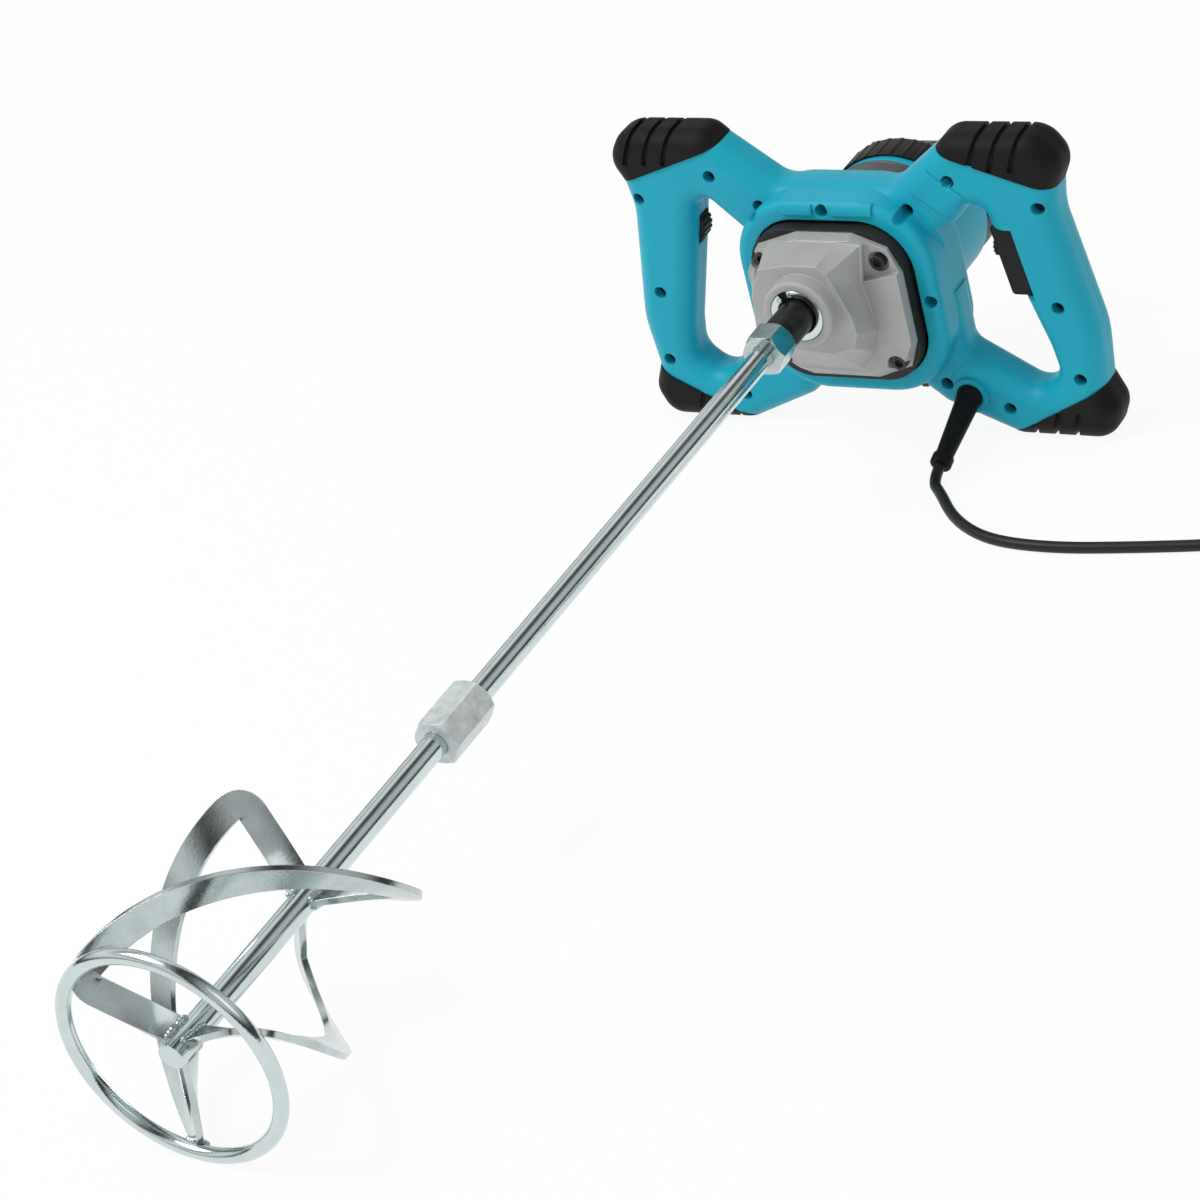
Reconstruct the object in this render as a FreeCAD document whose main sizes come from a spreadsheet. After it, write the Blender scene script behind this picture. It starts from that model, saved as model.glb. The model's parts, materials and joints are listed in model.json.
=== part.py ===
# Mixing drill: a two handled mortar and paint mixer, lying on its lower bumpers and its paddle ring.
# Tool axes: X across the handles, Y back along the drive, Z up. X = 0 and Z = 0 is the motor's axis, and
# Y = 0 is the front face of the handle arms. All pieces are then tipped together, as the tool lies at rest.
import FreeCAD, Part
import math
import os
import Sketcher

# Driving lengths in millimetres
LENGTHS = {
    # Handle frame: two half shells round a ring, with a handle on each side
    "frame_half_width": 145,
    "frame_half_height": 92,
    "frame_depth": 29,
    "frame_wall": 5,
    "collar_reach": 12,
    "collar_rounding": 5,
    "ring_outer_half": 59,
    "ring_outer_corner": 40,
    "ring_land": 1,
    "ring_inner_half": 48.5,
    "ring_inner_corner": 30,
    "rim_boss_radius": 4.2,
    "rim_boss_reach": 2,
    # Frame screws
    "frame_screw_radius": 1.9,
    "frame_screw_head_radius": 3.6,
    "frame_screw_head_height": 2.6,
    "frame_screw_grip": 6,
    "frame_screw_bite": 8,
    "frame_screw_boss_radius": 5.2,
    # Corner bumpers
    "bumper_proud": 1,
    "bumper_rounding": 12,
    "groove_width": 3.2,
    "groove_depth": 1.8,
    "groove_spacing": 12,
    "groove_length": 20,
    # Fits
    "clearance": 0.1,
    "running_clearance": 0.05,
    "moving_clearance": 0.4,
    "overrun": 20,
    # Motor
    "motor_radius": 44,
    "motor_wall": 3.5,
    "motor_length": 71,
    "ear_radius": 6,
    "ear_length": 15,
    "end_cap_length": 34,
    "end_cap_taper_start": 20,
    "end_cap_taper_length": 11,
    "end_cap_back_radius": 29,
    "end_cap_wall": 3,
    "vent_width": 3.2,
    "vent_inner_radius": 15,
    "vent_outer_radius": 27,
    "roof_sink": 2,
    "roof_vent_spacing": 9,
    "roof_vent_start": 7,
    "roof_vent_length": 20,
    "cap_screw_radius": 1.8,
    "cap_screw_head_radius": 3.4,
    "cap_screw_head_height": 2.4,
    "cap_screw_length": 16,
    "cap_screw_across": 33,
    "cap_ear_radius": 5,
    "cap_ear_length": 6,
    "housing_ear_length": 14,
    "shaft_radius": 5.5,
    "journal_radius": 3.5,
    "journal_bearing_radius": 9.5,
    "journal_bearing_width": 6,
    "bearing_cup_wall": 3,
    "armature_radius": 22,
    "armature_length": 55,
    "armature_slot_width": 2.6,
    "armature_slot_depth": 9,
    "air_gap": 0.6,
    "winding_radius": 20,
    "winding_length": 3.6,
    "commutator_radius": 11,
    "commutator_length": 10,
    "commutator_slot": 0.7,
    "commutator_gap": 1,
    "fan_radius": 35,
    "fan_width": 7,
    "fan_plate": 1.5,
    "fan_hub_wall": 3.5,
    "fan_blade": 1.8,
    "fan_gap": 2,
    "coil_inner_radius": 26,
    "coil_depth": 10,
    "coil_overhang": 4.5,
    "brush_width": 5,
    "brush_height": 8,
    "brush_length": 13,
    "brush_gap": 0.3,
    "holder_wall": 2,
    "holder_start": 3,
    "holder_end": 38,
    "brush_cap_radius": 6,
    "brush_cap_proud": 0.6,
    # Gear train and its case
    "spindle_rise": 17,
    "fast_module": 0.9,
    "slow_module": 1.25,
    "tooth_thinning": 0.12,
    "plate_half": 51,
    "plate_corner": 32,
    "plate_start": 10,
    "plate_thickness": 7,
    "plate_lip": 1,
    "plate_boss_length": 6,
    "plate_boss_wall": 2,
    "case_half": 46,
    "case_corner": 24,
    "case_reach": 28,
    "case_shoulder_reach": 19,
    "case_shoulder_lap": 1.5,
    "case_wall": 7,
    "case_cavity_radius": 41.5,
    "nose_sink": 2,
    "nose_top_reach": 50,
    "hub_radius": 20,
    "hub_reach": 60,
    "hub_rounding": 2,
    "case_screw_across": 35,
    "case_screw_up": 31,
    "case_screw_radius": 2.5,
    "case_screw_head_radius": 4.2,
    "case_screw_head_height": 5,
    "case_screw_pocket_radius": 6,
    "case_screw_pocket_depth": 7,
    "case_hollow_depth": 4.5,
    "spindle_radius": 10,
    "spindle_seat_radius": 7.5,
    "spindle_journal_radius": 4,
    "spindle_reach": 86,
    "spindle_gear_start": 4,
    "spindle_gear_width": 12,
    "spindle_bearing_radius": 18.5,
    "spindle_bearing_width": 9,
    "needle_radius": 6,
    "needle_length": 8,
    "seal_radius": 15.5,
    "seal_depth": 5,
    "seal_sink": 1,
    "key_width": 4,
    "key_height": 4,
    "key_length": 9,
    "middle_shaft_radius": 5,
    "middle_journal_radius": 2.5,
    "middle_bearing_radius": 8,
    "middle_bearing_width": 5,
    "middle_gear_start": 1,
    "middle_gear_width": 8.5,
    "middle_pinion_start": 3,
    "middle_pinion_width": 15,
    "armature_pinion_back": 9.5,
    "armature_pinion_width": 11.5,
    # Paddle
    "rod_radius": 6.25,
    "rod_thread_depth": 20,
    "jam_nut_flats": 22,
    "jam_nut_length": 16,
    "nut_chamfer": 1.6,
    "coupling_flats": 22,
    "coupling_length": 35,
    "rod_join_gap": 1,
    "lower_rod_length": 240,
    "paddle_reach": 671,
    "paddle_ring_radius": 53.5,
    "paddle_wire_radius": 3.5,
    "strip_width": 13,
    "strip_thickness": 3,
    "strip_bend_radius": 8.5,
    "blade_radius": 57.6,
    "blade_length": 115,
    "blade_ring_rise": 3.6,
    "weld_gap": 0.05,
    # Trigger, switch and lock button in the right grip
    "trigger_width": 18,
    "trigger_rounding": 2.5,
    "trigger_travel": 4.5,
    "notch_cover": 1.5,
    "trigger_dial_radius": 6,
    "trigger_dial_length": 5.4,
    "trigger_dial_proud": 3.6,
    "dial_notch": 0.9,
    "switch_gap": 1,
    "lock_flange": 3,
    "lock_proud": 4,
    # Speed dial in the left grip
    "speed_dial_width": 9,
    "speed_dial_proud": 3,
    "speed_dial_axle_radius": 2.5,
    "speed_dial_boss_radius": 5,
    # Cord
    "guard_root_radius": 7.5,
    "guard_root_length": 16,
    "guard_base_radius": 7,
    "guard_tip_radius": 4.6,
    "guard_length": 50,
    "guard_bead_radius": 6,
    "guard_bead_length": 7,
    "guard_collar_radius": 10.5,
    "guard_collar_reach": 2.5,
    "clamp_thickness": 5,
    "clamp_screw_radius": 1.4,
    "clamp_screw_head_radius": 2.6,
    "clamp_screw_head_height": 1.8,
    "cord_diameter": 6.2,
    "cord_lead_length": 12,
    "coil_outer_radius": 47,
    "coil_pitch": 6.8,
    "cord_tail_length": 40,
    "tie_width": 7,
    "tie_thickness": 1.2,
    "tie_gap": 0.4,
    "plug_length": 38,
    "plug_width": 36,
    "plug_height": 17,
    "plug_neck_radius": 6,
    "plug_neck_length": 12,
    "plug_rounding": 5,
    "plug_pin_radius": 2.4,
    "plug_pin_length": 19,
    "plug_pin_spacing": 19,
    "plug_pin_rounding": 1,
}
# Driving angles in degrees
ANGLES = {
    "pressure_angle": 20,
    "blade_start_angle": 0.5,
    "blade_sweep_angle": 142,
    "guard_dip_angle": 17,
    "groove_lean_angle": 20,
    "cap_roof_angle": 24,
    "coil_leg_start_angle": 72,
    "coil_leg_end_angle": 87,
    "tie_angle": 60,
}
# Places and sizes that follow the frame, in shares of its half width and of its half height
WIDTH_SHARES = {
    "frame_rounding": 0.0759,
    "trigger_face_top": 0.6048,
    "trigger_face_bottom": 0.6497,
    "trigger_depth": 0.1172,
    "switch_depth": 0.0690,
    "lock_across": 0.7448,
    "speed_dial_radius": 0.0966,
    "speed_dial_wall_place": 0.6310,
    "module_inner": 0.7448,
    "module_outer": 0.8345,
    "guard_across": 0.4172,
    "clamp_across": 0.4966,
    "clamp_breadth": 0.0448,
    "lock_radius": 0.0379,
    "lock_flange_radius": 0.0497,
}
HEIGHT_SHARES = {
    "trigger_top": 0.4130,
    "trigger_bottom": -0.0435,
    "trigger_dial_height": 0.2391,
    "switch_top": 0.3913,
    "switch_bottom": 0.0652,
    "lock_height": 0.5272,
    "speed_dial_height": 0.3370,
    "module_top": 0.1522,
    "module_bottom": -0.0217,
    "guard_drop": 0.7011,
    "clamp_drop": 0.7500,
    "clamp_length": 0.1739,
    "clamp_screw_spacing": 0.1033,
}
# Counts
ARMATURE_PINION_TEETH = 8
MIDDLE_GEAR_TEETH = 40
MIDDLE_PINION_TEETH = 9
SPINDLE_GEAR_TEETH = 35
BLADE_COUNT = 3
ARM_SECTIONS = 4
BEND_SECTIONS = 5
RUN_SECTIONS = 8
GROOVE_COUNT = 3
VENT_COUNT = 12
ROOF_VENT_COUNT = 5
FAN_BLADE_COUNT = 11
ARMATURE_SLOT_COUNT = 12
COMMUTATOR_SLOT_COUNT = 24
DIAL_NOTCH_COUNT = 14
SPEED_NOTCH_COUNT = 24
COIL_TURNS_PER_LAYER = 3
HEXAGON_SIDES = 6
FULL_TURN = 360
# Two places closer than this count as one
NEAR = 1e-4
SIDES = (-1, 1)
# Profile shift of the pinions, in modules. The wheels are shifted by as much the other way.
PINION_SHIFT_SHARE = 0.45
ADDENDUM_SHARE = 0.85
DEDENDUM_SHARE = 1.25
# An arc may take up this much of the run on either side of its corner
ARC_RUN_SHARE = 0.48
CORD_RUN_SHARE = 0.45

# Outline of the frame's right half from the ring's top round to its bottom. Each row is a corner: across and
# up in shares of the frame's half width and half height, and its rounding in shares of the half width.
UPPER_ARM_SHARES = (0.240, 0.655, 0.10)
UPPER_SEAM_INNER_SHARES = (0.448, 0.913, 0)
UPPER_SEAM_OUTER_SHARES = (0.903, 0.663, 0)
GRIP_WAIST_SHARES = (0.886, 0.489, 0.31)
GRIP_BULGE_SHARES = (0.972, -0.293, 0.41)
LOWER_SEAM_OUTER_SHARES = (0.955, -0.630, 0)
LOWER_SEAM_INNER_SHARES = (0.545, -0.978, 0)
LOWER_ARM_SHARES = (0.290, -0.800, 0.09)
LOWER_RING_SHARES = (0.185, -0.655, 0.06)
# Hole of the right handle, in the same shares. The two rows in between lie on the ring.
HOLE_APEX_SHARES = (0.586, 0.609, 0.05)
HOLE_RING_TOP_SHARES = (0, 0.330, 0.07)
HOLE_RING_BOTTOM_SHARES = (0, -0.430, 0.055)
HOLE_GRIP_SHARES = (
    (0.683, -0.696, 0.09),
    (0.779, -0.565, 0.08),
    (0.759, -0.370, 0.28),
    (0.628, 0.348, 0.20),
)
# Corners of the bumpers beyond the seams
UPPER_BUMPER_SHARES = ((0.503, 1.000, 0.09), (0.872, 1.000, 0.12), (0.948, 0.810, 0.10))
LOWER_BUMPER_SHARES = ((1.000, -0.800, 0.09), (0.950, -1.000, 0.10), (0.580, -1.000, 0.12))
# Channel inside each handle
CHANNEL_SHARES = (
    (0.400, 0.690), (0.462, 0.830), (0.828, 0.625), (0.841, 0.489), (0.924, -0.293), (0.900, -0.615),
    (0.545, -0.916), (0.350, -0.750), (0.372, -0.555), (0.676, -0.755), (0.814, -0.630), (0.800, -0.370),
    (0.669, 0.326), (0.607, 0.674), (0.448, 0.480),
)
CHANNEL_CORNER_SHARE = 0.02
# Joint between the front shell and the switch cover
COVER_EDGE_SHARES = ((0.165, 0.978), (0.476, 0.370), (0.455, -0.413), (0.179, -0.848))
COVER_REACH_SHARE = 1.4
# Frame screws: those on both sides, then those on the right side alone
PAIRED_SCREW_SHARES = (
    (0.497, 0.725), (0.310, 0.535), (0.834, 0.560), (0.841, -0.087), (0.876, -0.565), (0.566, -0.790),
)
SINGLE_SCREW_SHARES = ((0.207, -0.670), (0.324, -0.636))
GROOVE_CENTRE_SHARE = 0.72
# Facets of the gear case in shares of its half width, from its upper right corner round: its shoulder, the
# front of its ears, the nose's foot, the nose's top and the hollow in front of one screw
CASE_SHOULDER_SHARES = (
    (0.852, 0.813), (0.991, 0.478), (0.991, -0.435), (0.852, -0.813), (0.391, -0.991), (-0.478, -0.991),
    (-0.852, -0.813), (-0.991, -0.435), (-0.991, 0.478), (-0.852, 0.813), (-0.304, 0.991), (0.435, 0.991),
)
CASE_FRONT_SHARES = (
    (0.924, 0.837), (1.000, 0.587), (1.000, -0.370), (0.870, -0.630), (0.370, -0.804), (-0.543, -0.772),
    (-0.783, -0.609), (-0.935, -0.304), (-0.957, 0.522), (-0.804, 0.804), (-0.261, 0.978), (0.478, 0.978),
)
NOSE_FOOT_SHARES = (
    (0.630, 0.935), (0.533, 0.457), (0.587, -0.035), (0.641, -0.217), (0.522, -0.522), (0.326, -0.793),
    (-0.543, -0.761), (-0.902, -0.348), (-0.935, 0.500), (-0.587, 0.946), (-0.174, 0.967), (0.304, 0.967),
)
NOSE_TOP_SHARES = (
    (0.363, 0.804), (0.448, 0.609), (0.570, 0.283), (0.602, 0.017), (0.522, -0.174), (0.217, -0.261),
    (-0.348, -0.217), (-0.717, 0.065), (-0.674, 0.478), (-0.522, 0.837), (-0.130, 0.907), (0.257, 0.907),
)
CASE_HOLLOW_SHARES = ((0.650, 1.040), (1.080, 0.960), (1.080, 0.560), (0.545, 0.450))
# The two arms of a blade stand this much closer together at the rod than at their tips
BLADE_SPLAY_SHARE = 0.17

# The free cord's route on the floor after the stretch that leaves the guard. Each row is across and back in
# shares of the frame's half width, from the floor under the motor's axis at Y = 0, and up in shares of the
# cord's diameter.
CORD_ROUTE_SHARES = (
    (0.483, -0.455, 0.68),
    (0.579, -0.583, 0.5),
    (0.683, -0.679, 0.5),
    (0.800, -0.745, 0.5),
    (0.938, -0.772, 0.5),
    (1.117, -0.770, 0.5),
    (1.317, -0.737, 0.5),
    (1.559, -0.692, 0.53),
    (1.731, -0.659, 0.69),
)
COIL_ENTRY_SHARES = (2.000, -0.657)
COIL_LEAD_SHARE = 0.145


class Size:
    """A length or angle with its number and the expression that gives it from the sheet."""

    def __init__(self, number, text):
        self.number = number
        self.text = text

    def joined(self, sign, other, number):
        return Size(number, f"({self.text} {sign} {as_size(other).text})")

    def __add__(self, other):
        return self.joined("+", other, self.number + as_size(other).number)

    def __sub__(self, other):
        return self.joined("-", other, self.number - as_size(other).number)

    def __mul__(self, other):
        return self.joined("*", other, self.number * as_size(other).number)

    def __truediv__(self, other):
        return self.joined("/", other, self.number / as_size(other).number)

    def __neg__(self):
        return Size(-self.number, f"(0 - {self.text})")

    __radd__ = __add__
    __rmul__ = __mul__


def as_size(value):
    return value if isinstance(value, Size) else Size(value, repr(value))


def cosine(angle):
    return Size(math.cos(math.radians(angle.number)), f"cos({angle.text} * 1 deg)")


def sine(angle):
    return Size(math.sin(math.radians(angle.number)), f"sin({angle.text} * 1 deg)")


def hypotenuse(one, other):
    return Size(math.hypot(one.number, other.number), f"sqrt({one.text}^2 + {other.text}^2)")


def angle_of(rise, run):
    return Size(math.degrees(math.atan2(rise.number, run.number)),
                f"(atan2({rise.text}; {run.text}) / 1 deg)")


def arc_cosine(share):
    return Size(math.degrees(math.acos(share.number)), f"(acos({share.text}) / 1 deg)")


class SheetSizes:
    """Sizes of the sheet by name, to bind features to."""

    def __getattr__(self, name):
        return Size(float(sheet.get(name)), f"Sizes.{name}")


class SheetNumbers:
    """Numbers of the sheet by name, for the shapes that are worked out here."""

    def __getattr__(self, name):
        return float(sheet.get(name))


doc = FreeCAD.newDocument("MixingDrill")
sheet = doc.addObject("Spreadsheet::Sheet", "Sizes")
for row, (alias, number) in enumerate({**LENGTHS, **ANGLES}.items(), start=1):
    sheet.set(f"A{row}", alias)
    sheet.set(f"B{row}", str(number))
    sheet.setAlias(f"B{row}", alias)
for base, shares in (("frame_half_width", WIDTH_SHARES), ("frame_half_height", HEIGHT_SHARES)):
    for alias, share in shares.items():
        row += 1
        sheet.set(f"A{row}", alias)
        sheet.set(f"B{row}", f"={base} * {share}")
        sheet.setAlias(f"B{row}", alias)
doc.recompute()
s = SheetSizes()
mm = SheetNumbers()
ZERO = Size(0.0, "0")
Vector = FreeCAD.Vector
nodes = []

# Places along the drive that several pieces share
PARTING = s.frame_depth / 2
PLATE_BACK = s.plate_start + s.plate_thickness
MOTOR_BACK = PLATE_BACK + s.motor_length
CAP_BACK = MOTOR_BACK + s.end_cap_length
FAN_START = PLATE_BACK + s.fan_gap
CORE_START = FAN_START + s.fan_width + s.winding_length + s.commutator_gap
CORE_END = CORE_START + s.armature_length
COMMUTATOR_START = CORE_END + s.winding_length + s.commutator_gap
COMMUTATOR_MIDDLE = COMMUTATOR_START + s.commutator_length / 2
REAR_BEARING_END = CAP_BACK - s.end_cap_wall - s.plate_lip
REAR_BEARING_START = REAR_BEARING_END - s.journal_bearing_width
CASE_INNER = s.case_wall - s.case_reach
BEARING_FRONT = CASE_INNER - s.spindle_bearing_width
RING_Y = -s.paddle_reach
COUPLING_Y = s.lower_rod_length - s.paddle_reach
BLADE_MIDDLE_Y = RING_Y + s.blade_ring_rise + s.blade_length / 2
NUT_FRONT = -s.spindle_reach - s.jam_nut_length

# How the tool lies: the front edges of the lower bumpers and the paddle ring all touch the floor
FOOT_Y = s.bumper_rounding - s.bumper_proud
FOOT_Z = s.bumper_rounding - s.frame_half_height
LIE_RISE = s.spindle_rise - s.paddle_ring_radius - FOOT_Z
LIE_RUN = FOOT_Y - RING_Y
LIE_ANGLE = (
    arc_cosine((s.paddle_wire_radius - s.bumper_rounding) / hypotenuse(LIE_RISE, LIE_RUN))
    - angle_of(LIE_RUN, LIE_RISE)
)
LIE_COS = cosine(LIE_ANGLE)
LIE_SIN = sine(LIE_ANGLE)
LIFT = s.bumper_rounding - FOOT_Z * LIE_COS - FOOT_Y * LIE_SIN
FRONT_Y = RING_Y * LIE_COS - (s.spindle_rise + s.paddle_ring_radius) * LIE_SIN - s.paddle_wire_radius
BACK_Y = CAP_BACK * LIE_COS + s.end_cap_back_radius * LIE_SIN
SHIFT = -(FRONT_Y + BACK_Y) / 2


def lay(piece):
    """Tip a piece with the whole tool, as it lies on the floor."""
    turn = FreeCAD.Rotation(Vector(1, 0, 0), LIE_ANGLE.number)
    piece.Placement = FreeCAD.Placement(Vector(0, SHIFT.number, LIFT.number), turn)
    piece.setExpression("Placement.Rotation.Angle", LIE_ANGLE.text)
    piece.setExpression("Placement.Base.y", SHIFT.text)
    piece.setExpression("Placement.Base.z", LIFT.text)
    nodes.append(piece)


def lain(point):
    """Where a point of the tool lies in the finished part."""
    turn = FreeCAD.Rotation(Vector(1, 0, 0), LIE_ANGLE.number)
    return turn.multVec(point) + Vector(0, SHIFT.number, LIFT.number)


# Parametric bodies

def new_body(label):
    body = doc.addObject("PartDesign::Body", label)
    body.Label = label
    return body


def sketch_on(body, role, across=ZERO, up=ZERO, out=ZERO):
    plane = next(item for item in body.Origin.OriginFeatures if item.Role == role)
    sketch = body.newObject("Sketcher::SketchObject", "Sketch")
    sketch.AttachmentSupport = (plane, [""])
    sketch.MapMode = "FlatFace"
    for axis, place in (("x", across), ("y", up), ("z", out)):
        sketch.setExpression(f"AttachmentOffset.Base.{axis}", place.text)
    return sketch


def bind(sketch, kind, geometry, vertex, place):
    index = sketch.addConstraint(Sketcher.Constraint(kind, -1, 1, geometry, vertex, place.number))
    sketch.setExpression(f"Constraints[{index}]", place.text)


def draw_polygon(sketch, corners):
    """Closed polygon whose every corner is held by its two coordinates."""
    corners = [(as_size(x), as_size(y)) for x, y in corners]
    first = sketch.GeometryCount
    places = [Vector(x.number, y.number, 0) for x, y in corners]
    count = len(corners)
    lines = [Part.LineSegment(places[i], places[(i + 1) % count]) for i in range(count)]
    sketch.addGeometry(lines, False)
    sketch.addConstraint([
        Sketcher.Constraint("Coincident", first + i, 2, first + (i + 1) % count, 1) for i in range(count)
    ])
    for i, (x, y) in enumerate(corners):
        bind(sketch, "DistanceX", first + i, 1, x)
        bind(sketch, "DistanceY", first + i, 1, y)


def draw_circle(sketch, x, y, radius):
    index = sketch.addGeometry(Part.Circle(Vector(x.number, y.number, 0), Vector(0, 0, 1), radius.number),
                               False)
    bind(sketch, "DistanceX", index, 3, x)
    bind(sketch, "DistanceY", index, 3, y)
    held = sketch.addConstraint(Sketcher.Constraint("Radius", index, radius.number))
    sketch.setExpression(f"Constraints[{held}]", radius.text)


def turn_feature(body, profile, x=ZERO, z=ZERO):
    """Revolve a profile of (place along Y, radius) rows about the line at x, z."""
    sketch = sketch_on(body, "YZ_Plane", up=z, out=x)
    draw_polygon(sketch, profile)
    feature = body.newObject("PartDesign::Revolution", "Turning")
    feature.Profile = sketch
    feature.ReferenceAxis = (sketch, ["H_Axis"])
    feature.Angle = FULL_TURN
    return feature


def turned(label, profile, x=ZERO, z=ZERO):
    body = new_body(label)
    turn_feature(body, profile, x, z)
    lay(body)
    return body


def extend(body, kind, sketch, length, reverse):
    feature = body.newObject(f"PartDesign::{kind}", kind)
    feature.Profile = sketch
    feature.setExpression("Length", length.text)
    feature.Length = length.number
    feature.Reversed = reverse
    return feature


def pad_between(body, draw, back, front, x=ZERO, z=ZERO):
    """Pad what draw puts in a sketch, from the place back to the place front along Y."""
    sketch = sketch_on(body, "XZ_Plane", x, z, -back)
    draw(sketch)
    return extend(body, "Pad", sketch, back - front, False)


def cut_between(body, draw, back, front, x=ZERO, z=ZERO):
    """Pocket what draw puts in a sketch, from the place front to the place back along Y."""
    sketch = sketch_on(body, "XZ_Plane", x, z, -front)
    draw(sketch)
    doc.recompute()
    before = body.Shape.Volume
    feature = extend(body, "Pocket", sketch, back - front, False)
    doc.recompute()
    if body.Shape.Volume >= before:
        raise RuntimeError(f"{body.Label}: a pocket cut nothing")
    return feature


def repeat_round(body, feature, count):
    pattern = body.newObject("PartDesign::PolarPattern", "Pattern")
    pattern.Originals = [feature]
    pattern.Axis = (feature.Profile[0], ["N_Axis"])
    pattern.Angle = FULL_TURN
    pattern.Occurrences = count
    body.Tip = pattern
    return pattern


def box_corners(left, right, bottom, top):
    return ((left, bottom), (right, bottom), (right, top), (left, top))


def ring_profile(start, end, bore, radius):
    return ((start, bore), (start, radius), (end, radius), (end, bore))


def hexagon(flats):
    reach = flats / 2 / math.cos(math.pi / HEXAGON_SIDES)
    corners = []
    for side in range(HEXAGON_SIDES):
        turn = math.radians(FULL_TURN * side / HEXAGON_SIDES)
        corners.append((reach * math.cos(turn), reach * math.sin(turn)))
    return corners


# Shapes that are worked out here

def feature(label, shape, laid=True):
    piece = doc.addObject("Part::Feature", label)
    piece.Label = label
    piece.Shape = shape if shape.Placement.isIdentity() else Part.makeCompound([shape])
    if laid:
        lay(piece)
    else:
        nodes.append(piece)
    return piece


def rounded_corner(before, here, after):
    """Start, middle and end of the arc at a corner (x, z, rounding), or the corner alone."""
    point = Vector(here[0], 0, here[1])
    back = Vector(before[0], 0, before[1]) - point
    ahead = Vector(after[0], 0, after[1]) - point
    if here[2] <= 0:
        return [point]
    half = back.getAngle(ahead) / 2
    reach = min(here[2] / math.tan(half), ARC_RUN_SHARE * min(back.Length, ahead.Length))
    radius = reach * math.tan(half)
    back.normalize()
    ahead.normalize()
    middle = (back + ahead).normalize()
    return [
        point + back * reach,
        point + middle * (radius / math.sin(half) - radius),
        point + ahead * reach,
    ]


def outline_wire(corners):
    """Closed wire in the plane Y = 0 through corners (x, z, rounding)."""
    count = len(corners)
    bends = [rounded_corner(corners[i - 1], corners[i], corners[(i + 1) % count]) for i in range(count)]
    edges = []
    for i, bend in enumerate(bends):
        if len(bend) > 1:
            edges.append(Part.Arc(*bend).toShape())
        edges.append(Part.LineSegment(bend[-1], bends[(i + 1) % count][0]).toShape())
    return Part.Wire(edges)


def prism(wires, start, end):
    """Solid of an outline, and of any holes in it, from start to end along Y."""
    face = Part.makeFace(wires, "Part::FaceMakerBullseye")
    face.translate(Vector(0, start, 0))
    return face.extrude(Vector(0, end - start, 0))


def square_wire(half, corner):
    return outline_wire([(half, half, corner), (half, -half, corner), (-half, -half, corner), (-half, half,
                                                                                               corner)])


def rod_between(start, end, radius, x=0, z=0):
    return Part.makeCylinder(radius, end - start, Vector(x, start, z), Vector(0, 1, 0))


def block(low, high):
    size = high - low
    return Part.makeBox(size.x, size.y, size.z, low)


def turned_solid(profile, x=0, z=0):
    """Solid of revolution of (place along Y, radius) rows about the line at x, z."""
    points = [Vector(x, place, z + radius) for place, radius in profile]
    face = Part.Face(Part.makePolygon(points + points[:1]))
    return face.revolve(Vector(x, 0, z), Vector(0, 1, 0), FULL_TURN)


def edges_at(shape, place, keep=lambda middle: True):
    """Edges that lie in the plane Y = place and whose middle passes the test keep."""
    found = []
    for edge in shape.Edges:
        middle = edge.valueAt((edge.FirstParameter + edge.LastParameter) / 2)
        ends = [vertex.Point for vertex in edge.Vertexes] + [middle]
        if all(abs(point.y - place) < NEAR for point in ends) and keep(middle):
            found.append(edge)
    return found


def placed(shares, side=1):
    """A corner of the frame from its shares."""
    across, up = shares[0] * mm.frame_half_width, shares[1] * mm.frame_half_height
    rounding = shares[2] * mm.frame_half_width if len(shares) > 2 else 0
    return (side * across, up, rounding)


def frame_corners():
    right = [UPPER_ARM_SHARES, UPPER_SEAM_INNER_SHARES, UPPER_SEAM_OUTER_SHARES, GRIP_WAIST_SHARES,
             GRIP_BULGE_SHARES, LOWER_SEAM_OUTER_SHARES, LOWER_SEAM_INNER_SHARES, LOWER_ARM_SHARES,
             LOWER_RING_SHARES]
    return [placed(row) for row in right] + [placed(row, -1) for row in reversed(right)]


def hole_corners(side):
    corners = [placed(HOLE_APEX_SHARES, side)]
    for row in (HOLE_RING_TOP_SHARES, HOLE_RING_BOTTOM_SHARES):
        _, up, rounding = placed(row)
        corners.append((side * (mm.ring_outer_half + mm.ring_land), up, rounding))
    return corners + [placed(row, side) for row in HOLE_GRIP_SHARES]


def seams():
    rows = ((UPPER_SEAM_INNER_SHARES, UPPER_SEAM_OUTER_SHARES),
            (LOWER_SEAM_OUTER_SHARES, LOWER_SEAM_INNER_SHARES))
    return [(placed(inner, side), placed(outer, side)) for side in SIDES for inner, outer in rows]


def line_gap(point, one, other):
    """How far a point is from the line between two corners, seen along Y."""
    line = Part.makeLine(Vector(one[0], point.y, one[1]), Vector(other[0], point.y, other[1]))
    return line.distToShape(Part.Vertex(point))[0]


def on_seam(middle):
    return any(line_gap(middle, one, other) < NEAR for one, other in seams())


def screw_places():
    """Across and up of each frame screw. The last two sit in the middle of the ring's rim."""
    rim = (mm.ring_inner_half + mm.ring_outer_half) / 2
    both = [placed(row, side)[:2] for row in PAIRED_SCREW_SHARES for side in SIDES]
    return both + [placed(row)[:2] for row in SINGLE_SCREW_SHARES] + [(0, rim), (rim, 0)]


def frame_blank():
    """Front half of the frame as a solid, with its front edges rounded where no bumper sits."""
    holes = [outline_wire(hole_corners(side)) for side in SIDES]
    blank = prism([outline_wire(frame_corners())] + holes, 0, PARTING.number)
    edges = edges_at(blank, 0, lambda middle: not on_seam(middle))
    return blank.makeFillet(mm.frame_rounding, edges)


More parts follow.
